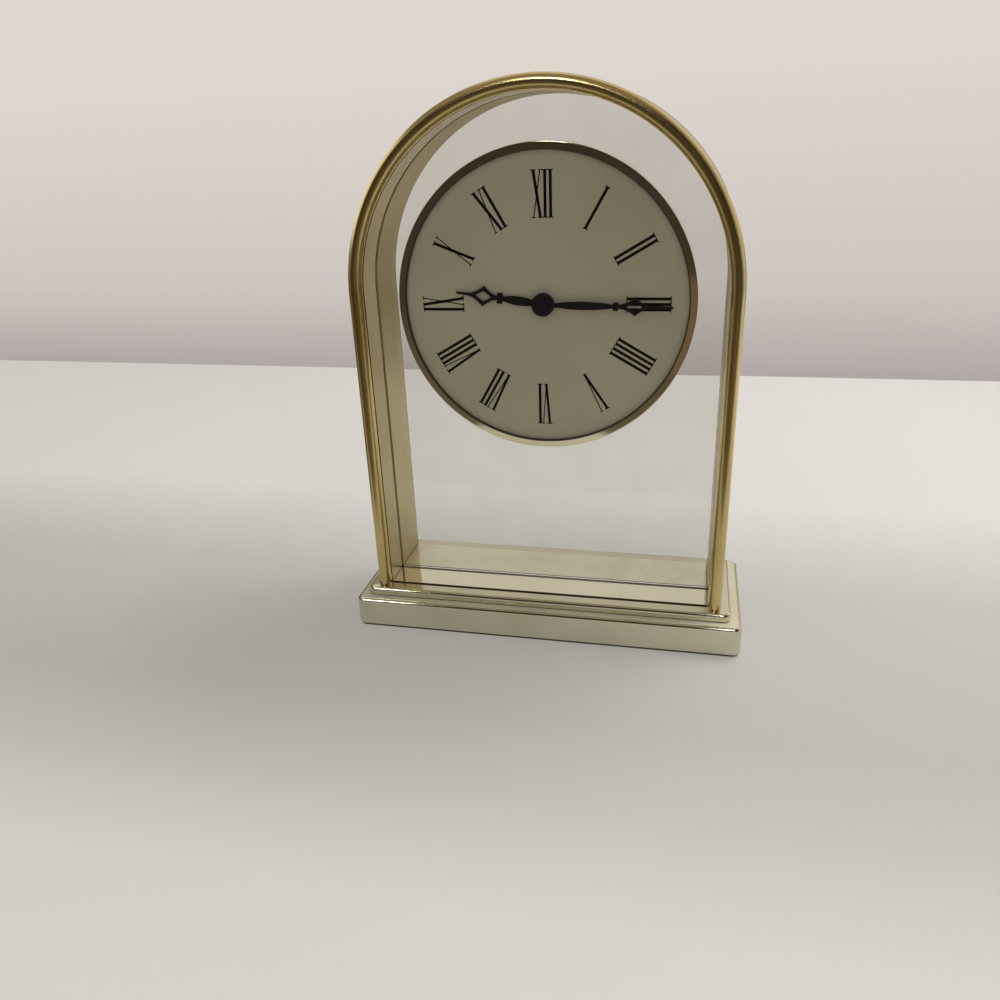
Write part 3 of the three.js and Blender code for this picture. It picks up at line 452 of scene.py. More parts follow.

# %% [markdown]
# The tier has two shallow pockets for the floor plates, cut where the plates lie. The top face is
# bisected along the four lines of each pocket, and only the faces inside it are pushed down. The walls
# and floors of the groove in front of the strip and of the rear pocket get painted shade. A putty bead
# stays up where the glass stands, and one more cut marks a band of painted shade round the tier's foot,
# where it meets the plinth.

# %% Tier with pockets
TIER_RIM = 1.3 * MM
GROOVE = 0.6 * MM
PLATE_SEAM = 0.15 * MM
BEAD = 2.4 * MM
FLOOR_DROP = 0.1 * MM
FOOT_SHADE_HEIGHT = 0.35 * MM
TOUCHING = 1e-7
SHADED_SEAM, FLOOR, PUTTY = 2, 3, 4

tier_low, tier_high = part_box("base_tier")
tier_low = tier_low + LEDGE_RISE
tier = soft_step(tier_low, tier_high, TIER_RIM)
tier_foot, tier_top = tier_low.z, tier_high.z
strip_low, strip_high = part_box("floor_front_plate")
rear_low, rear_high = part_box("floor_rear_plate")


def cut_pocket(front, back, floor, finish_index):
    """Sinks the part of the tier's top between two depths, as wide as the floor strips."""
    left, right = strip_low.x - PLATE_SEAM, strip_high.x + PLATE_SEAM
    for place, normal in (
        ((left, 0, 0), (1, 0, 0)),
        ((right, 0, 0), (1, 0, 0)),
        ((0, front, 0), (0, 1, 0)),
        ((0, back, 0), (0, 1, 0)),
    ):
        level = [face for face in tier.faces if at_height(face, tier_top)]
        parts = {*level, *(e for f in level for e in f.edges), *(v for f in level for v in f.verts)}
        bmesh.ops.bisect_plane(tier, geom=list(parts), dist=TOUCHING, plane_co=place, plane_no=normal)
    pocket = [
        face
        for face in tier.faces
        if at_height(face, tier_top)
        and left < face.calc_center_median().x < right
        and front < face.calc_center_median().y < back
    ]
    sunk = sink(tier, pocket, floor - tier_top)
    for face in {face for vert in sunk for face in vert.link_faces}:
        face.material_index = finish_index


bead_back = strip_high.y + BEAD
# The front groove and the rear pocket get a dark brown that paints the shade in them.
cut_pocket(strip_low.y - GROOVE, strip_high.y + PLATE_SEAM / 2, strip_low.z, SHADED_SEAM)
cut_pocket(strip_high.y + PLATE_SEAM, bead_back, strip_high.z, PUTTY)
cut_pocket(bead_back + PLATE_SEAM, rear_low.y - 2 * PLATE_SEAM, tier_top - FLOOR_DROP, FLOOR)
cut_pocket(rear_low.y - PLATE_SEAM, rear_high.y + PLATE_SEAM, rear_low.z, SHADED_SEAM)
# One more cut gives a band of painted shade round the tier's foot.
whole = [*tier.verts, *tier.edges, *tier.faces]
foot_shade_plane = (0, 0, tier_foot + FOOT_SHADE_HEIGHT)
bmesh.ops.bisect_plane(tier, geom=whole, dist=TOUCHING, plane_co=foot_shade_plane, plane_no=(0, 0, 1))
for face in tier.faces:
    if face.calc_center_median().z < tier_foot + FOOT_SHADE_HEIGHT:
        face.material_index = SHADED_SEAM
tier_finishes = [pale_brass, rim_brass, seam_shade, floor_satin, bead_putty]
new_piece("upper_step", tier, tier_finishes, stands_for=["base_tier"])

# %% [markdown]
# The floor plates are thin sheet with the edge just broken, so that it catches a line of light. The
# front one is trimmed a little at its front, as the photograph shows it.

# %% Floor plates
BROKEN_EDGE = 0.15 * MM
STRIP_TRIM = Vector((0, 0.9 * MM, 0))
NO_TRIM = Vector((0, 0, 0))

for name, node, finish, slot, trim in (
    ("mirror_floor", "floor_front_plate", mirror_brass, "pale_brass", STRIP_TRIM),
    ("satin_floor", "floor_rear_plate", floor_satin, "satin_brass", NO_TRIM),
):
    low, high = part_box(node)
    plate = new_block(low + trim, high)
    round_over(plate, list(plate.edges), BROKEN_EDGE, segments=2)
    new_piece(name, plate, [finish], stands_for=[node])

# %% [markdown]
# ## Arch
# Every part of the arch is one section that runs up a leg, over a half circle and down again. Spin
# carries the section over the top, and an extrusion of its two ends makes the legs.

# %% Helpers for the arch
ARCH_STEPS = 128
BAND = 5.2 * MM
moulding_low, moulding_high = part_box("arch_front_moulding")
ARCH_OUTER = moulding_high.x
ARCH_INNER = ARCH_OUTER - BAND
ARCH_CENTRE = moulding_high.z - ARCH_OUTER
ARCH_FOOT = moulding_low.z


def loop_of(shape, points, height):
    """A closed loop of edges through points of [radius, depth], at a height."""
    verts = [shape.verts.new((radius, depth, height)) for radius, depth in points]
    return [shape.edges.new((a, b)) for a, b in zip(verts, verts[1:] + verts[:1])]


def over_the_arch(shape, section):
    """Carries a closed loop of edges over the half circle and down both legs."""
    middle = (0, 0, ARCH_CENTRE)
    geom = [*section, *{vert for edge in section for vert in edge.verts}]
    spun = bmesh.ops.spin(
        shape, geom=geom, cent=middle, axis=(0, 1, 0), angle=-math.pi, steps=ARCH_STEPS
    )
    far_end = [item for item in spun["geom_last"] if isinstance(item, bmesh.types.BMEdge)]
    for end in (section, far_end):
        leg = bmesh.ops.extrude_edge_only(shape, edges=end)["geom"]
        foot = [item for item in leg if isinstance(item, bmesh.types.BMVert)]
        bmesh.ops.translate(shape, verts=foot, vec=(0, 0, ARCH_FOOT - ARCH_CENTRE))
    bmesh.ops.holes_fill(shape, edges=[edge for edge in shape.edges if edge.is_boundary], sides=0)


print("arch helpers ready")

# %% [markdown]
# The round-nosed mouldings start as a single point that is spun into a half circle and drawn out to
# their depth. One faces the front, the other the back.

# %% Mouldings
NOSE_STEPS = 24
MOULDING_DEPTH = moulding_high.y - moulding_low.y


def round_nose(flat, facing):
    """A moulding whose section is a half circle, drawn out to the moulding's depth."""
    shape = bmesh.new()
    edge = shape.verts.new((ARCH_INNER, flat, ARCH_CENTRE))
    centre = (ARCH_OUTER - BAND / 2, flat, ARCH_CENTRE)
    half_turn = -facing * math.pi
    bmesh.ops.spin(
        shape, geom=[edge], cent=centre, axis=(0, 0, 1), angle=half_turn, steps=NOSE_STEPS
    )
    draw_out = (1, 2 * MOULDING_DEPTH / BAND, 1)
    bmesh.ops.scale(shape, vec=draw_out, verts=shape.verts, space=Matrix.Translation((0, -flat, 0)))
    ends = [vert for vert in shape.verts if len(vert.link_edges) == 1]
    shape.edges.new(ends)
    over_the_arch(shape, list(shape.edges))
    return shape


rear_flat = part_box("arch_rear_moulding")[0].y
for name, node, flat, facing in (
    ("front_moulding", "arch_front_moulding", moulding_high.y, -1),
    ("rear_moulding", "arch_rear_moulding", rear_flat, 1),
):
    new_piece(name, round_nose(flat, facing), [polished_brass], stands_for=[node])

# %% [markdown]
# Behind the moulding the arch is a flat band. A rebate in its inside holds the glass, and a liner
# closes the rebate in front of the glass. A groove behind the moulding, with painted shade on its
# faces, and the tape behind the glass are the two lines that run up the inside of the columns.

# %% Band and liner
SEAM_WIDTH = 0.9 * MM
SEAM_DEPTH = 0.5 * MM
TAPE = 0.1 * MM
LINER_GAP = 0.3 * MM
FILLED_OR_SHADED = 1
band_low, band_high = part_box("arch_band")
liner_low, liner_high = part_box("arch_front_liner")
glass_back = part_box("glass_panel")[1].y
REBATE = liner_high.x + LINER_GAP
GROOVE_WALL = ARCH_INNER + SEAM_DEPTH


def arch_faces(shape, radius, depth):
    """The faces whose middles lie beyond a radius and in front of a depth."""
    found = []
    for face in shape.faces:
        middle = face.calc_center_median()
        reach = math.hypot(middle.x, max(0, middle.z - ARCH_CENTRE))
        if reach > radius and middle.y < depth:
            found.append(face)
    return found


band = bmesh.new()
band_points = [
    (band_high.x, band_low.y), (band_high.x, band_high.y), (ARCH_INNER, band_high.y),
    (ARCH_INNER, glass_back - TAPE), (REBATE, glass_back - TAPE), (REBATE, band_low.y),
]
over_the_arch(band, loop_of(band, band_points, ARCH_CENTRE))
for face in arch_faces(band, GROOVE_WALL, glass_back):
    if face.calc_center_median().y > band_low.y + TAPE:
        face.material_index = FILLED_OR_SHADED
new_piece("arch_ring", band, [satin_brass, bedding_tape], stands_for=["arch_band"])

liner = bmesh.new()
groove_back = liner_low.y + SEAM_WIDTH
liner_points = [
    (liner_high.x, liner_low.y), (liner_high.x, liner_high.y), (ARCH_INNER, liner_high.y),
    (ARCH_INNER, groove_back), (GROOVE_WALL, groove_back), (GROOVE_WALL, liner_low.y),
]
over_the_arch(liner, loop_of(liner, liner_points, ARCH_CENTRE))
# The faces of the groove get a dark brown that paints the shade in it.
for face in arch_faces(liner, ARCH_INNER + SEAM_DEPTH / 4, groove_back + TAPE):
    face.material_index = FILLED_OR_SHADED
liner_finishes = [satin_brass, seam_shade]
new_piece("inner_strip", liner, liner_finishes, stands_for=["arch_front_liner"])

# %% [markdown]
# ## Bezel and dial
# Round pieces are a closed section that is spun once round the dial's axis. A quarter circle of points
# in the section gives a round edge.

# %% Helpers for turned pieces
RING_STEPS = 192
bezel_low, bezel_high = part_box("bezel_ring")
DIAL_CENTRE = (bezel_low.z + bezel_high.z) / 2


def turned(points, steps=RING_STEPS):
    """A closed section of [radius, depth] points turned round the dial's axis."""
    shape = bmesh.new()
    loop_of(shape, points, DIAL_CENTRE)
    bmesh.ops.spin(
        shape, geom=[*shape.verts, *shape.edges], cent=(0, 0, DIAL_CENTRE), axis=(0, 1, 0),
        angle=2 * math.pi, steps=steps, use_merge=True,
    )
    return shape


def quarter_round(radius, depth, size, steps=6):
    """Points of a round edge that starts level at a depth and ends upright at a radius."""
    turns = [math.pi / 2 * i / steps for i in range(steps + 1)]
    return [(radius - size * (1 - math.sin(a)), depth + size * (1 - math.cos(a))) for a in turns]


print("turning helpers ready")

# %% [markdown]
# The bezel is a narrow ring that slopes away from the dial and rounds over at its edge, so its top
# mirrors the dim room and its foot the pale table. Just inside its rim runs a fine line of painted
# shade.

# %% Bezel
BEZEL_OUTER = bezel_high.x
BEZEL_WIDTH = 2.9 * MM
BEZEL_INNER = BEZEL_OUTER - BEZEL_WIDTH
BEZEL_SLOPE = 0.32 * MM
BEZEL_EDGE = 0.35 * MM
BEZEL_BREAK = 0.1 * MM
BEZEL_LIP = 1.3 * MM
SHADOW_LINE = 0.5 * MM
DIAL_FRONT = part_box("dial_face")[0].y

bezel_front = bezel_low.y
lip_front = DIAL_FRONT - BEZEL_BREAK
bezel_points = [
    (BEZEL_INNER, lip_front),
    (BEZEL_INNER, bezel_front + BEZEL_BREAK),
    (BEZEL_INNER + BEZEL_BREAK, bezel_front),
    (BEZEL_INNER + SHADOW_LINE, bezel_front + BEZEL_SLOPE * SHADOW_LINE / BEZEL_WIDTH),
    *quarter_round(BEZEL_OUTER, bezel_front + BEZEL_SLOPE, BEZEL_EDGE),
    (BEZEL_OUTER, bezel_high.y),
    (BEZEL_INNER + BEZEL_LIP, bezel_high.y),
    (BEZEL_INNER + BEZEL_LIP, lip_front),
]
bezel = turned(bezel_points)
# Faces inside the shadow line get painted shade.
for face in bezel.faces:
    middle = face.calc_center_median()
    if math.hypot(middle.x, middle.z - DIAL_CENTRE) < BEZEL_INNER + SHADOW_LINE:
        face.material_index = FILLED_OR_SHADED
new_piece("bezel", bezel, [bezel_brass, rim_shadow], stands_for=["bezel_ring"])

# %% [markdown]
# ## Numerals
# Twelve Roman numerals stand with their feet to the centre. Each is a few strokes: thick and thin
# slanted ones for V and X, thick upright ones for I, and hair lines as serifs. A stroke is a small
# box that a matrix stretches and leans, so that its ends stay level.

# %% Helpers for the numerals
NUMERAL_FOOT = 30.4 * MM
NUMERAL_TOP = 46.5 * MM
THICK = 1.06 * MM
V_THICK = 0.9 * THICK
THIN = 0.4 * MM
HAIR = 0.36 * MM
OVERHANG = 0.5 * MM
INK_DEPTH = 0.03 * MM
LETTER_WIDTH = {"I": 0.0, "V": 2.55 * MM, "X": 2.5 * MM}


def stroke(shape, turn, foot_x, top_x, width, foot=NUMERAL_FOOT, top=NUMERAL_TOP):
    """A level-ended stroke from foot_x at the numeral's foot to top_x at its top."""
    lean = Matrix((
        (width, 0, top_x - foot_x, (foot_x + top_x) / 2),
        (0, INK_DEPTH, 0, 0),
        (0, 0, top - foot, (foot + top) / 2),
        (0, 0, 0, 1),
    ))
    bmesh.ops.create_cube(shape, size=1, matrix=turn @ lean)


def serif(shape, turn, x, width, at_top):
    """A hair line across the end of a stroke."""
    level = NUMERAL_TOP if at_top else NUMERAL_FOOT
    foot = level - HAIR if at_top else level
    stroke(shape, turn, x, x, width + 2 * OVERHANG, foot, foot + HAIR)


def letter(shape, turn, sign, left):
    """One letter whose strokes start at left; V and X lean across their width."""
    right = left + LETTER_WIDTH[sign]
    middle = (left + right) / 2
    if sign == "I":
        stroke(shape, turn, left, left, THICK)
        ends = [(left, THICK, True), (left, THICK, False)]
    elif sign == "V":
        stroke(shape, turn, middle, left, V_THICK)
        stroke(shape, turn, middle, right, THIN)
        ends = [(left, THICK, True), (right, THIN, True), (middle, THIN, False)]
    else:
        stroke(shape, turn, right, left, THICK)
        stroke(shape, turn, left, right, THIN)
        ends = [(left, THICK, True), (right, THIN, True), (right, THICK, False), (left, THIN, False)]
    for x, width, at_top in ends:
        serif(shape, turn, x, width, at_top)


print("numeral helpers ready")

# %% [markdown]
# The letters of a numeral are set side by side and centred, and then the numeral is turned to its
# hour. All twelve are one piece of ink on the dial.

# %% Numerals
LETTER_GAP = {"II": 1.95 * MM, "IX": 1.7 * MM, "XI": 1.7 * MM, "VI": 1.2 * MM}
HOURS = ["I", "II", "III", "IIII", "V", "VI", "VII", "VIII", "IX", "X", "XI", "XII"]
HOUR_STEP = math.radians(30)

numerals = bmesh.new()
dial_middle = Matrix.Translation((0, DIAL_FRONT - INK_DEPTH / 2, DIAL_CENTRE))
for hour, text in enumerate(HOURS, start=1):
    gaps = [LETTER_GAP[a + b] for a, b in zip(text, text[1:])]
    place = -(sum(LETTER_WIDTH[sign] for sign in text) + sum(gaps)) / 2
    turn = dial_middle @ Matrix.Rotation(HOUR_STEP * hour, 4, "Y")
    for sign, gap in zip(text, [*gaps, 0.0]):
        letter(numerals, turn, sign, place)
        place += LETTER_WIDTH[sign] + gap
new_piece("numerals", numerals, [ink])

# %% [markdown]
# ## Hands
# Both hands are cut from thin sheet: a leaf-shaped blade, a collar, a pierced diamond and a long tip.
# Only the right edge is drawn, in millimetres, with soft curves for the blade and the diamond.

# %% Outline of a hand
def curve(start, control, end, steps=10):
    """Points of a quadratic curve, without its first one."""
    spots = []
    for i in range(1, steps + 1):
        t = i / steps
        weights = ((1 - t) ** 2, 2 * t * (1 - t), t * t)
        spots.append([sum(w * c for w, c in zip(weights, spot)) for spot in zip(start, control, end)])
    return spots


def hand_edge(blade, collar, diamond, tip):
    """The right edge of a hand from the hub to the tip, in millimetres: [half width, height]."""
    (root, root_half, full_half, end, end_half) = blade
    (collar_foot, collar_top, collar_half) = collar
    (foot, foot_half, widest, wide_half, neck, neck_half, hollow) = diamond
    bulge = 2 * full_half - (root_half + end_half) / 2
    edge = [[root_half, root]]
    edge += curve(edge[-1], (bulge, (root + end) / 2), (end_half, end))
    edge += [[collar_half, collar_foot], [collar_half, collar_top], [foot_half, foot]]
    edge += curve(edge[-1], (wide_half * hollow, (foot + widest) / 2), (wide_half, widest))
    edge += curve(edge[-1], (wide_half * hollow, (widest + neck) / 2), (neck_half, neck))
    edge += [tip]
    return edge


hour_edge = hand_edge(
    blade=(3.6, 0.9, 1.65, 15.4, 0.75),
    collar=(15.5, 17.5, 1.95),
    diamond=(17.6, 0.75, 22.8, 3.85, 28.4, 0.5, 0.28),
    tip=[0.35, 33.3],
)
hour_window = [[0, 19.7], [1.9, 22.8], [0, 26.0]]
minute_edge = hand_edge(
    blade=(3.6, 0.65, 1.5, 25.7, 0.7),
    collar=(25.8, 27.6, 1.5),
    diamond=(27.7, 0.75, 33.7, 3.3, 39.0, 0.62, 0.28),
    tip=[0.4, 47.2],
)
minute_window = [[0, 30.3], [1.6, 33.7], [0, 36.4]]
print("points on the edge of a hand:", len(hour_edge), len(minute_edge))

# %% [markdown]
# Mirror makes the left edge, a fill leaves the window open, and an extrusion gives the sheet its
# thickness. The rim is broken so that the black paint shows a fine line. The hand is made at twelve
# and then turned to its place on the dial.

# %% Hands
HUB = 4.2 * MM
HUB_STEPS = 64
HAND_RIM = 0.1 * MM
RIM_ANGLE = 1.0
HOUR_ANGLE = 277.5
MINUTE_ANGLE = 91


def cut_hand(node, edge, window):
    """The hand between the front and back of its CAD node, pointing at twelve."""
    low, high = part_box(node)
    shape = bmesh.new()
    for line in (edge, window):
        verts = [shape.verts.new((x * MM, high.y, z * MM)) for x, z in line]
        for a, b in zip(verts, verts[1:]):
            shape.edges.new((a, b))
    bmesh.ops.mirror(shape, geom=[*shape.verts, *shape.edges], axis="X", merge_dist=TOUCHING)
    for level in (edge[0][1], edge[-1][1]):
        shape.edges.new([vert for vert in shape.verts if abs(vert.co.z - level * MM) < TOUCHING])
    bmesh.ops.triangle_fill(
        shape, edges=list(shape.edges), use_beauty=True, use_dissolve=True, normal=(0, -1, 0)
    )
    lifted = bmesh.ops.extrude_face_region(shape, geom=list(shape.faces), use_keep_orig=True)["geom"]
    front = [item for item in lifted if isinstance(item, bmesh.types.BMVert)]
    bmesh.ops.translate(shape, verts=front, vec=(0, low.y - high.y, 0))
    bmesh.ops.recalc_face_normals(shape, faces=shape.faces)
    rim = [
        side
        for side in shape.edges
        if all(abs(vert.co.y - low.y) < TOUCHING for vert in side.verts)
        and side.calc_face_angle(0) > RIM_ANGLE
    ]
    round_over(shape, rim, HAND_RIM, segments=2)
    hub_place = Matrix.Translation((0, (low.y + high.y) / 2, 0)) @ Matrix.Rotation(math.pi / 2, 4, "X")
    bmesh.ops.create_cone(
        shape, cap_ends=True, segments=HUB_STEPS, radius1=HUB, radius2=HUB, depth=high.y - low.y,
        matrix=hub_place,
    )
    return shape


def swing(shape, degrees):
    """Turns a hand clockwise from twelve and lifts it to the dial's centre."""
    turn = Matrix.Translation((0, 0, DIAL_CENTRE)) @ Matrix.Rotation(math.radians(degrees), 4, "Y")
    bmesh.ops.transform(shape, matrix=turn, verts=shape.verts)
    return shape


for name, node, edge, window, angle, body in (
    ("hour_pointer", "hour_hand", hour_edge, hour_window, HOUR_ANGLE, "hour_works"),
    ("minute_pointer", "minute_hand", minute_edge, minute_window, MINUTE_ANGLE, "minute_works"),
):
    hand = swing(cut_hand(node, edge, window), angle)
    new_piece(name, hand, [black_paint], body=body, stands_for=[node])

# %% [markdown]
# The cap is a low black button over both hubs, with a round shoulder. A turned section may not touch
# its axis, so it stops a hair before it.

# %% Hand cap
AXIS_GAP = 0.05 * MM
CAP_STEPS = 96
CROWN = 0.55
CROWN_DROP = 0.05 * MM
SHOULDER_DROP = 0.1 * MM
SHOULDER = 0.5 * MM

cap_low, cap_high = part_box("hand_cap")
cap_radius = cap_high.x
cap_points = [
    (AXIS_GAP, cap_high.y),
    (AXIS_GAP, cap_low.y),
    (cap_radius * CROWN, cap_low.y + CROWN_DROP),
    *quarter_round(cap_radius, cap_low.y + SHOULDER_DROP, SHOULDER),
    (cap_radius, cap_high.y),
]
cap = turned(cap_points, CAP_STEPS)
new_piece("hub_cap", cap, [black_paint], body="minute_works", stands_for=["hand_cap"])

# %% [markdown]
# ## Drum behind the glass
# Seen from the back, a brass drum hides the movement. Its wall and its pull-off cover are turned, with
# a soft edge on the cover's rim.

# %% Drum and cover
DRUM_WALL = 1.2 * MM
DRUM_EDGE = 0.4 * MM
BUSH_HOLE = 4.3 * MM
COVER_GAP = 0.3 * MM
COVER_EDGE = 0.6 * MM
COVER_BREAK = 0.18 * MM

drum_low, drum_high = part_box("rear_drum")
drum_radius = drum_high.x
drum_inside = drum_radius - DRUM_WALL
drum_points = [
    (BUSH_HOLE, drum_low.y), (drum_radius - DRUM_EDGE, drum_low.y),
    (drum_radius, drum_low.y + DRUM_EDGE), (drum_radius, drum_high.y), (drum_inside, drum_high.y),
    (drum_inside, drum_low.y + DRUM_WALL), (BUSH_HOLE, drum_low.y + DRUM_WALL),
]
drum = turned(drum_points)
new_piece("drum_wall", drum, [polished_brass], stands_for=["rear_drum"])

cover_low, cover_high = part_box("rear_cover")
cover_face = cover_high.y - DRUM_WALL
rim_outer = drum_inside - COVER_GAP
rim_inner = rim_outer - DRUM_WALL
cover_points = [
    (AXIS_GAP, cover_face), (rim_inner, cover_face), (rim_inner, cover_low.y),
    (rim_outer, cover_low.y), (rim_outer, cover_face), (drum_radius, cover_face),
    (drum_radius, cover_high.y - COVER_EDGE), (drum_radius - COVER_BREAK, cover_high.y - COVER_BREAK),
    (drum_radius - COVER_EDGE, cover_high.y), (AXIS_GAP, cover_high.y),
]
cover = turned(cover_points)
new_piece(
    "drum_cover", cover, [satin_brass], body="back_lid", stands_for=["rear_cover"]
)

# %% [markdown]
# ## Stage
# The clock stands on a pale table in front of a pale wall, and the table keeps the clock's soft shadow.
# The wall shows itself to the camera, to mirrors and through glass in a colour of its own, with painted
# shade that darkens its foot. For all other light it is a plain wall, so its brightness puts no more
# light on the clock. The table does the same for a share of its colour, and that share has painted
# shade just in front of the clock and painted light far in front of it and behind it.

# %% Finishes of the stage
def show_plainly(finish, axis, low, high, stops, share=1.0):
    """Shows a share of a finish plainly to the eye.

    Its colour runs through [place, colour] stops from low to high on an axis.
    """
    nodes, links = finish.node_tree.nodes, finish.node_tree.links
    place = nodes.new("ShaderNodeTexCoord")
    axes = nodes.new("ShaderNodeSeparateXYZ")
    rise = nodes.new("ShaderNodeMapRange")
    rise.inputs["From Min"].default_value = low
    rise.inputs["From Max"].default_value = high
    ramp = nodes.new("ShaderNodeValToRGB")
    elements = ramp.color_ramp.elements
    elements.remove(elements[1])
    for spot, colour in stops:
        stop = elements.new(spot) if spot > 0 else elements[0]
        stop.color = colour
    glow = nodes.new("ShaderNodeEmission")
    rays = nodes.new("ShaderNodeLightPath")
    mirrored, seen, part = (nodes.new("ShaderNodeMath") for _ in range(3))
    mirrored.operation = "MAXIMUM"
    seen.operation = "MAXIMUM"
    part.operation = "MULTIPLY"
    part.inputs[1].default_value = share
    choice = nodes.new("ShaderNodeMixShader")
    links.new(place.outputs["Object"], axes.inputs["Vector"])
    links.new(axes.outputs[axis], rise.inputs["Value"])
    links.new(rise.outputs["Result"], ramp.inputs["Fac"])
    links.new(ramp.outputs["Color"], glow.inputs["Color"])
    links.new(rays.outputs["Is Glossy Ray"], mirrored.inputs[0])
    links.new(rays.outputs["Is Transmission Ray"], mirrored.inputs[1])
    links.new(rays.outputs["Is Camera Ray"], seen.inputs[0])
    links.new(mirrored.outputs["Value"], seen.inputs[1])
    links.new(seen.outputs["Value"], part.inputs[0])
    links.new(part.outputs["Value"], choice.inputs["Fac"])
    links.new(nodes["Principled BSDF"].outputs["BSDF"], choice.inputs[1])
    links.new(glow.outputs["Emission"], choice.inputs[2])
    links.new(choice.outputs["Shader"], nodes["Material Output"].inputs["Surface"])


table_finish = new_finish("pale_table", Roughness=0.6)
tint(table_finish, grain(table_finish, 0.3, detail=2.0), paint(211, 208, 203), paint(216, 213, 208))
# Painted light and shade: the table is darker just in front of the clock and brighter far in front and
# behind.
table_painted_light_and_shade = [
    (0, paint(255, 250, 243)), (0.12, paint(250, 244, 236)), (0.26, paint(212, 207, 199)),
    (0.38, paint(194, 190, 183)), (0.7, paint(206, 202, 195)), (1, paint(255, 251, 244)),
]
show_plainly(table_finish, "Y", -0.2, 0.12, table_painted_light_and_shade, share=0.45)
wall_finish = new_finish("pale_wall", Roughness=0.8)
tint(wall_finish, grain(wall_finish, 0.4, detail=2.0), paint(222, 214, 207), paint(226, 219, 212))
# Painted shade: the wall grows darker towards its foot.
wall_painted_shade = [(0, paint(176, 167, 164)), (0.3, paint(205, 197, 192)), (1, paint(223, 214, 206))]
show_plainly(wall_finish, "Z", 0.0, 0.24, wall_painted_shade)
# A dark finish that paints the shadow under the base.
shade_finish = new_finish("under_shade", Roughness=0.9)
tint(shade_finish, grain(shade_finish, 0.02), paint(116, 110, 98), paint(126, 120, 108))
print("stage finishes: 3")

# %% [markdown]
# Table and wall are large sheets. A small dark sheet lies under the base, with its corners rounded as
# the plinth's are, and paints the shadow in the gap beside the felt. None of them belongs to the clock,
# so none of them rides on a body.

# %% Table, wall and shade
WALL_PLACE = 0.388
WALL_HALF = 0.6
STAGE_REACH = 4.0
SHADE_INSET = Vector((0.5, 0.5, 0)) * MM
SHADE_LIFT = 0.3 * MM
upright = Matrix.Rotation(math.pi / 2, 4, "X")


def stage_sheet(name, matrix, finish, corner=0.0):
    """A flat sheet of the stage, two units wide before its matrix, with corners that may be round."""
    shape = bmesh.new()
    bmesh.ops.create_grid(shape, x_segments=1, y_segments=1, size=1, matrix=matrix)
    if corner:
        bmesh.ops.bevel(
            shape, geom=list(shape.verts), offset=corner, segments=8, profile=0.5,
            affect="VERTICES", material=-1,
        )
    mesh = bpy.data.meshes.new(name)
    shape.to_mesh(mesh)
    shape.free()
    mesh.materials.append(finish)
    sheet = bpy.data.objects.new(name, mesh)
    scene.collection.objects.link(sheet)
    return sheet


table_middle = Matrix.Translation((0, WALL_PLACE - STAGE_REACH, 0))
stage_sheet("table", table_middle @ Matrix.Scale(STAGE_REACH, 4), table_finish)
wall_middle = Matrix.Translation((0, WALL_PLACE, WALL_HALF))
wall_size = Matrix.Diagonal((STAGE_REACH, WALL_HALF, 1, 1))
stage_sheet("wall", wall_middle @ upright @ wall_size, wall_finish)
shade_half = plinth_high - SHADE_INSET
shade_size = Matrix.Diagonal((shade_half.x, shade_half.y, 1, 1))
shade_place = Matrix.Translation((0, 0, SHADE_LIFT))
stage_sheet("under_shade", shade_place @ shade_size, shade_finish, CORNER)
print("stage: table, wall and shade")

# %% [markdown]
# ## Light
# Even, soft light comes from the whole room, with a large soft lamp above and behind the clock, so the
# wall and the floor strips are bright and the dial is dimmer. A small lamp far in front gives the fine
# bright line along the top of the arch, and two more give the sparks on the corners of the base. Light
# linking names the pieces that each of these three lamps may light.

# %% Lamps
ROOM_COLOUR = (0.5, 0.49, 0.475, 1.0)
ROOM_STRENGTH = 0.72

world = bpy.data.worlds.new("room")
world.use_nodes = True
background = world.node_tree.nodes["Background"]
background.inputs["Color"].default_value = ROOM_COLOUR
background.inputs["Strength"].default_value = ROOM_STRENGTH
scene.world = world


def soft_lamp(name, place, target, width, height, watts):
    """A lamp like a soft box, at a place and facing a target, that the camera doesn't see."""
    lamp_data = bpy.data.lights.new(name, "AREA")
    lamp_data.shape = "RECTANGLE"
    lamp_data.size = width
    lamp_data.size_y = height
    lamp_data.energy = watts
    lamp = bpy.data.objects.new(name, lamp_data)
    facing = (Vector(target) - Vector(place)).to_track_quat("-Z", "Y")
    lamp.matrix_world = Matrix.Translation(place) @ facing.to_matrix().to_4x4()
    lamp.visible_camera = False
    scene.collection.objects.link(lamp)
    return lamp


def shine_on(lamp, *names):
    """Lets a lamp light the named pieces only."""
    pieces = bpy.data.collections.new(lamp.name + "_pieces")
    for name in names:
        pieces.objects.link(bpy.data.objects[name])
    lamp.light_linking.receiver_collection = pieces


ceiling_lamp = soft_lamp("ceiling_lamp", (0.4, 0.3, 0.8), (0.2, 0.2, 0.0), 0.6, 0.5, watts=6)
ceiling_lamp.visible_glossy = False
front_lamp = soft_lamp("front_lamp", (-0.13, -1.0, 0.95), (0, 0, 0.2), 0.2, 0.3, watts=3)
left_lamp = soft_lamp("left_lamp", (-0.5, -0.9, 0.75), (0, 0, 0), 0.15, 0.15, watts=1)
right_lamp = soft_lamp("right_lamp", (0.16, -0.9, 0.75), (0, 0, 0), 0.05, 0.15, watts=0.4)
shine_on(front_lamp, "front_moulding", "bezel")
shine_on(left_lamp, "plinth_step", "upper_step")
shine_on(right_lamp, "plinth_step", "upper_step")
print("lamps: 4")

# %% [markdown]
# Polished metal shows what is round it, so cards stand for the room. The table gives way to a dim
# floor a hand's breadth in front of the clock, with a warm patch on the right, and the room beyond it
# is dim. A dim board stands on the right, a pale one close by on the left with a bright window before
# it, and a darker one at the foot of the wall. The ceiling is dim too. The cards are seen only in
# reflections, and they neither light nor shade anything.

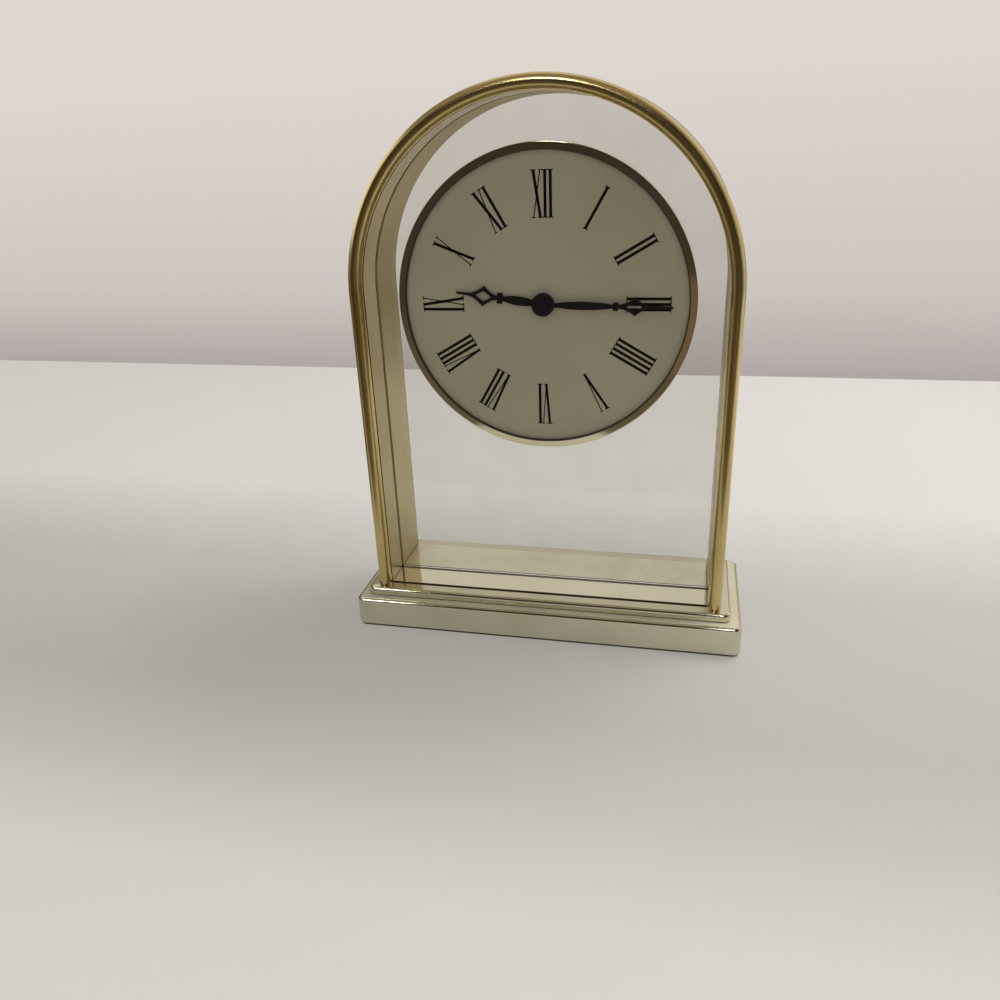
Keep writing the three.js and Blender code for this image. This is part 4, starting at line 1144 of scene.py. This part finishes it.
# %% Cards for the reflections
def card_finish(name, axis, low, high, first, second):
    """A finish for a card: a plain run of colour from first to second along an axis."""
    finish = new_finish(name, Roughness=0.9)
    tint(finish, grain(finish, 0.2), first, second)
    show_plainly(finish, axis, low, high, [(0, first), (1, second)])
    return finish


def card(name, middle, turn, half_width, half_height, finish):
    """A sheet that only reflections see, from its middle, its turn and half its sizes."""
    size = Matrix.Diagonal((half_width, half_height, 1, 1))
    sheet = stage_sheet(name, Matrix.Translation(middle) @ turn @ size, finish)
    sheet.visible_camera = False
    sheet.visible_diffuse = False
    sheet.visible_transmission = False
    sheet.visible_shadow = False


dim_finish = card_finish("dim_card", "Z", 0.0, 1.2, paint(66, 59, 50), paint(40, 36, 32))
floor_finish = card_finish("floor_card", "Y", -0.6, -0.15, paint(66, 59, 50), paint(98, 90, 74))
warm_finish = card_finish("warm_card", "Y", -1.2, -0.3, paint(108, 88, 74), paint(118, 95, 78))
pale_finish = card_finish("pale_card", "Z", 0.0, 0.5, paint(96, 86, 70), paint(160, 150, 130))
window_finish = card_finish("window_card", "Z", 0.17, 0.3, paint(255, 250, 236), paint(255, 250, 236))
back_finish = card_finish("back_card", "Z", 0.03, 0.17, paint(168, 158, 142), paint(156, 147, 132))
ceiling_finish = card_finish("ceiling_card", "Z", 0.0, 2.0, paint(140, 129, 118), paint(150, 139, 128))

lying = Matrix.Identity(4)
sideways = Matrix.Rotation(math.pi / 2, 4, "Z") @ upright
card("dim_floor", (0, -0.725, 0.001), lying, 3.0, 0.585, floor_finish)
card("warm_floor", (0.85, -0.76, 0.0015), lying, 0.75, 0.5, warm_finish)
card("dim_room", (0, -1.31, 1.2), upright, 3.0, 1.2, dim_finish)
card("dim_side", (0.5, -0.75, 0.5), sideways, 0.55, 0.5, dim_finish)
card("pale_side", (-0.19, 0.15, 0.25), sideways, 0.19, 0.25, pale_finish)
card("window_side", (-0.185, 0.085, 0.225), sideways, 0.145, 0.06, window_finish)
card("dim_back", (0.15, 0.385, 0.1), upright, 0.25, 0.07, back_finish)
card("dim_ceiling", (0, 0.4, 1.6), lying, 3.0, 1.7, ceiling_finish)
print("cards: 8")
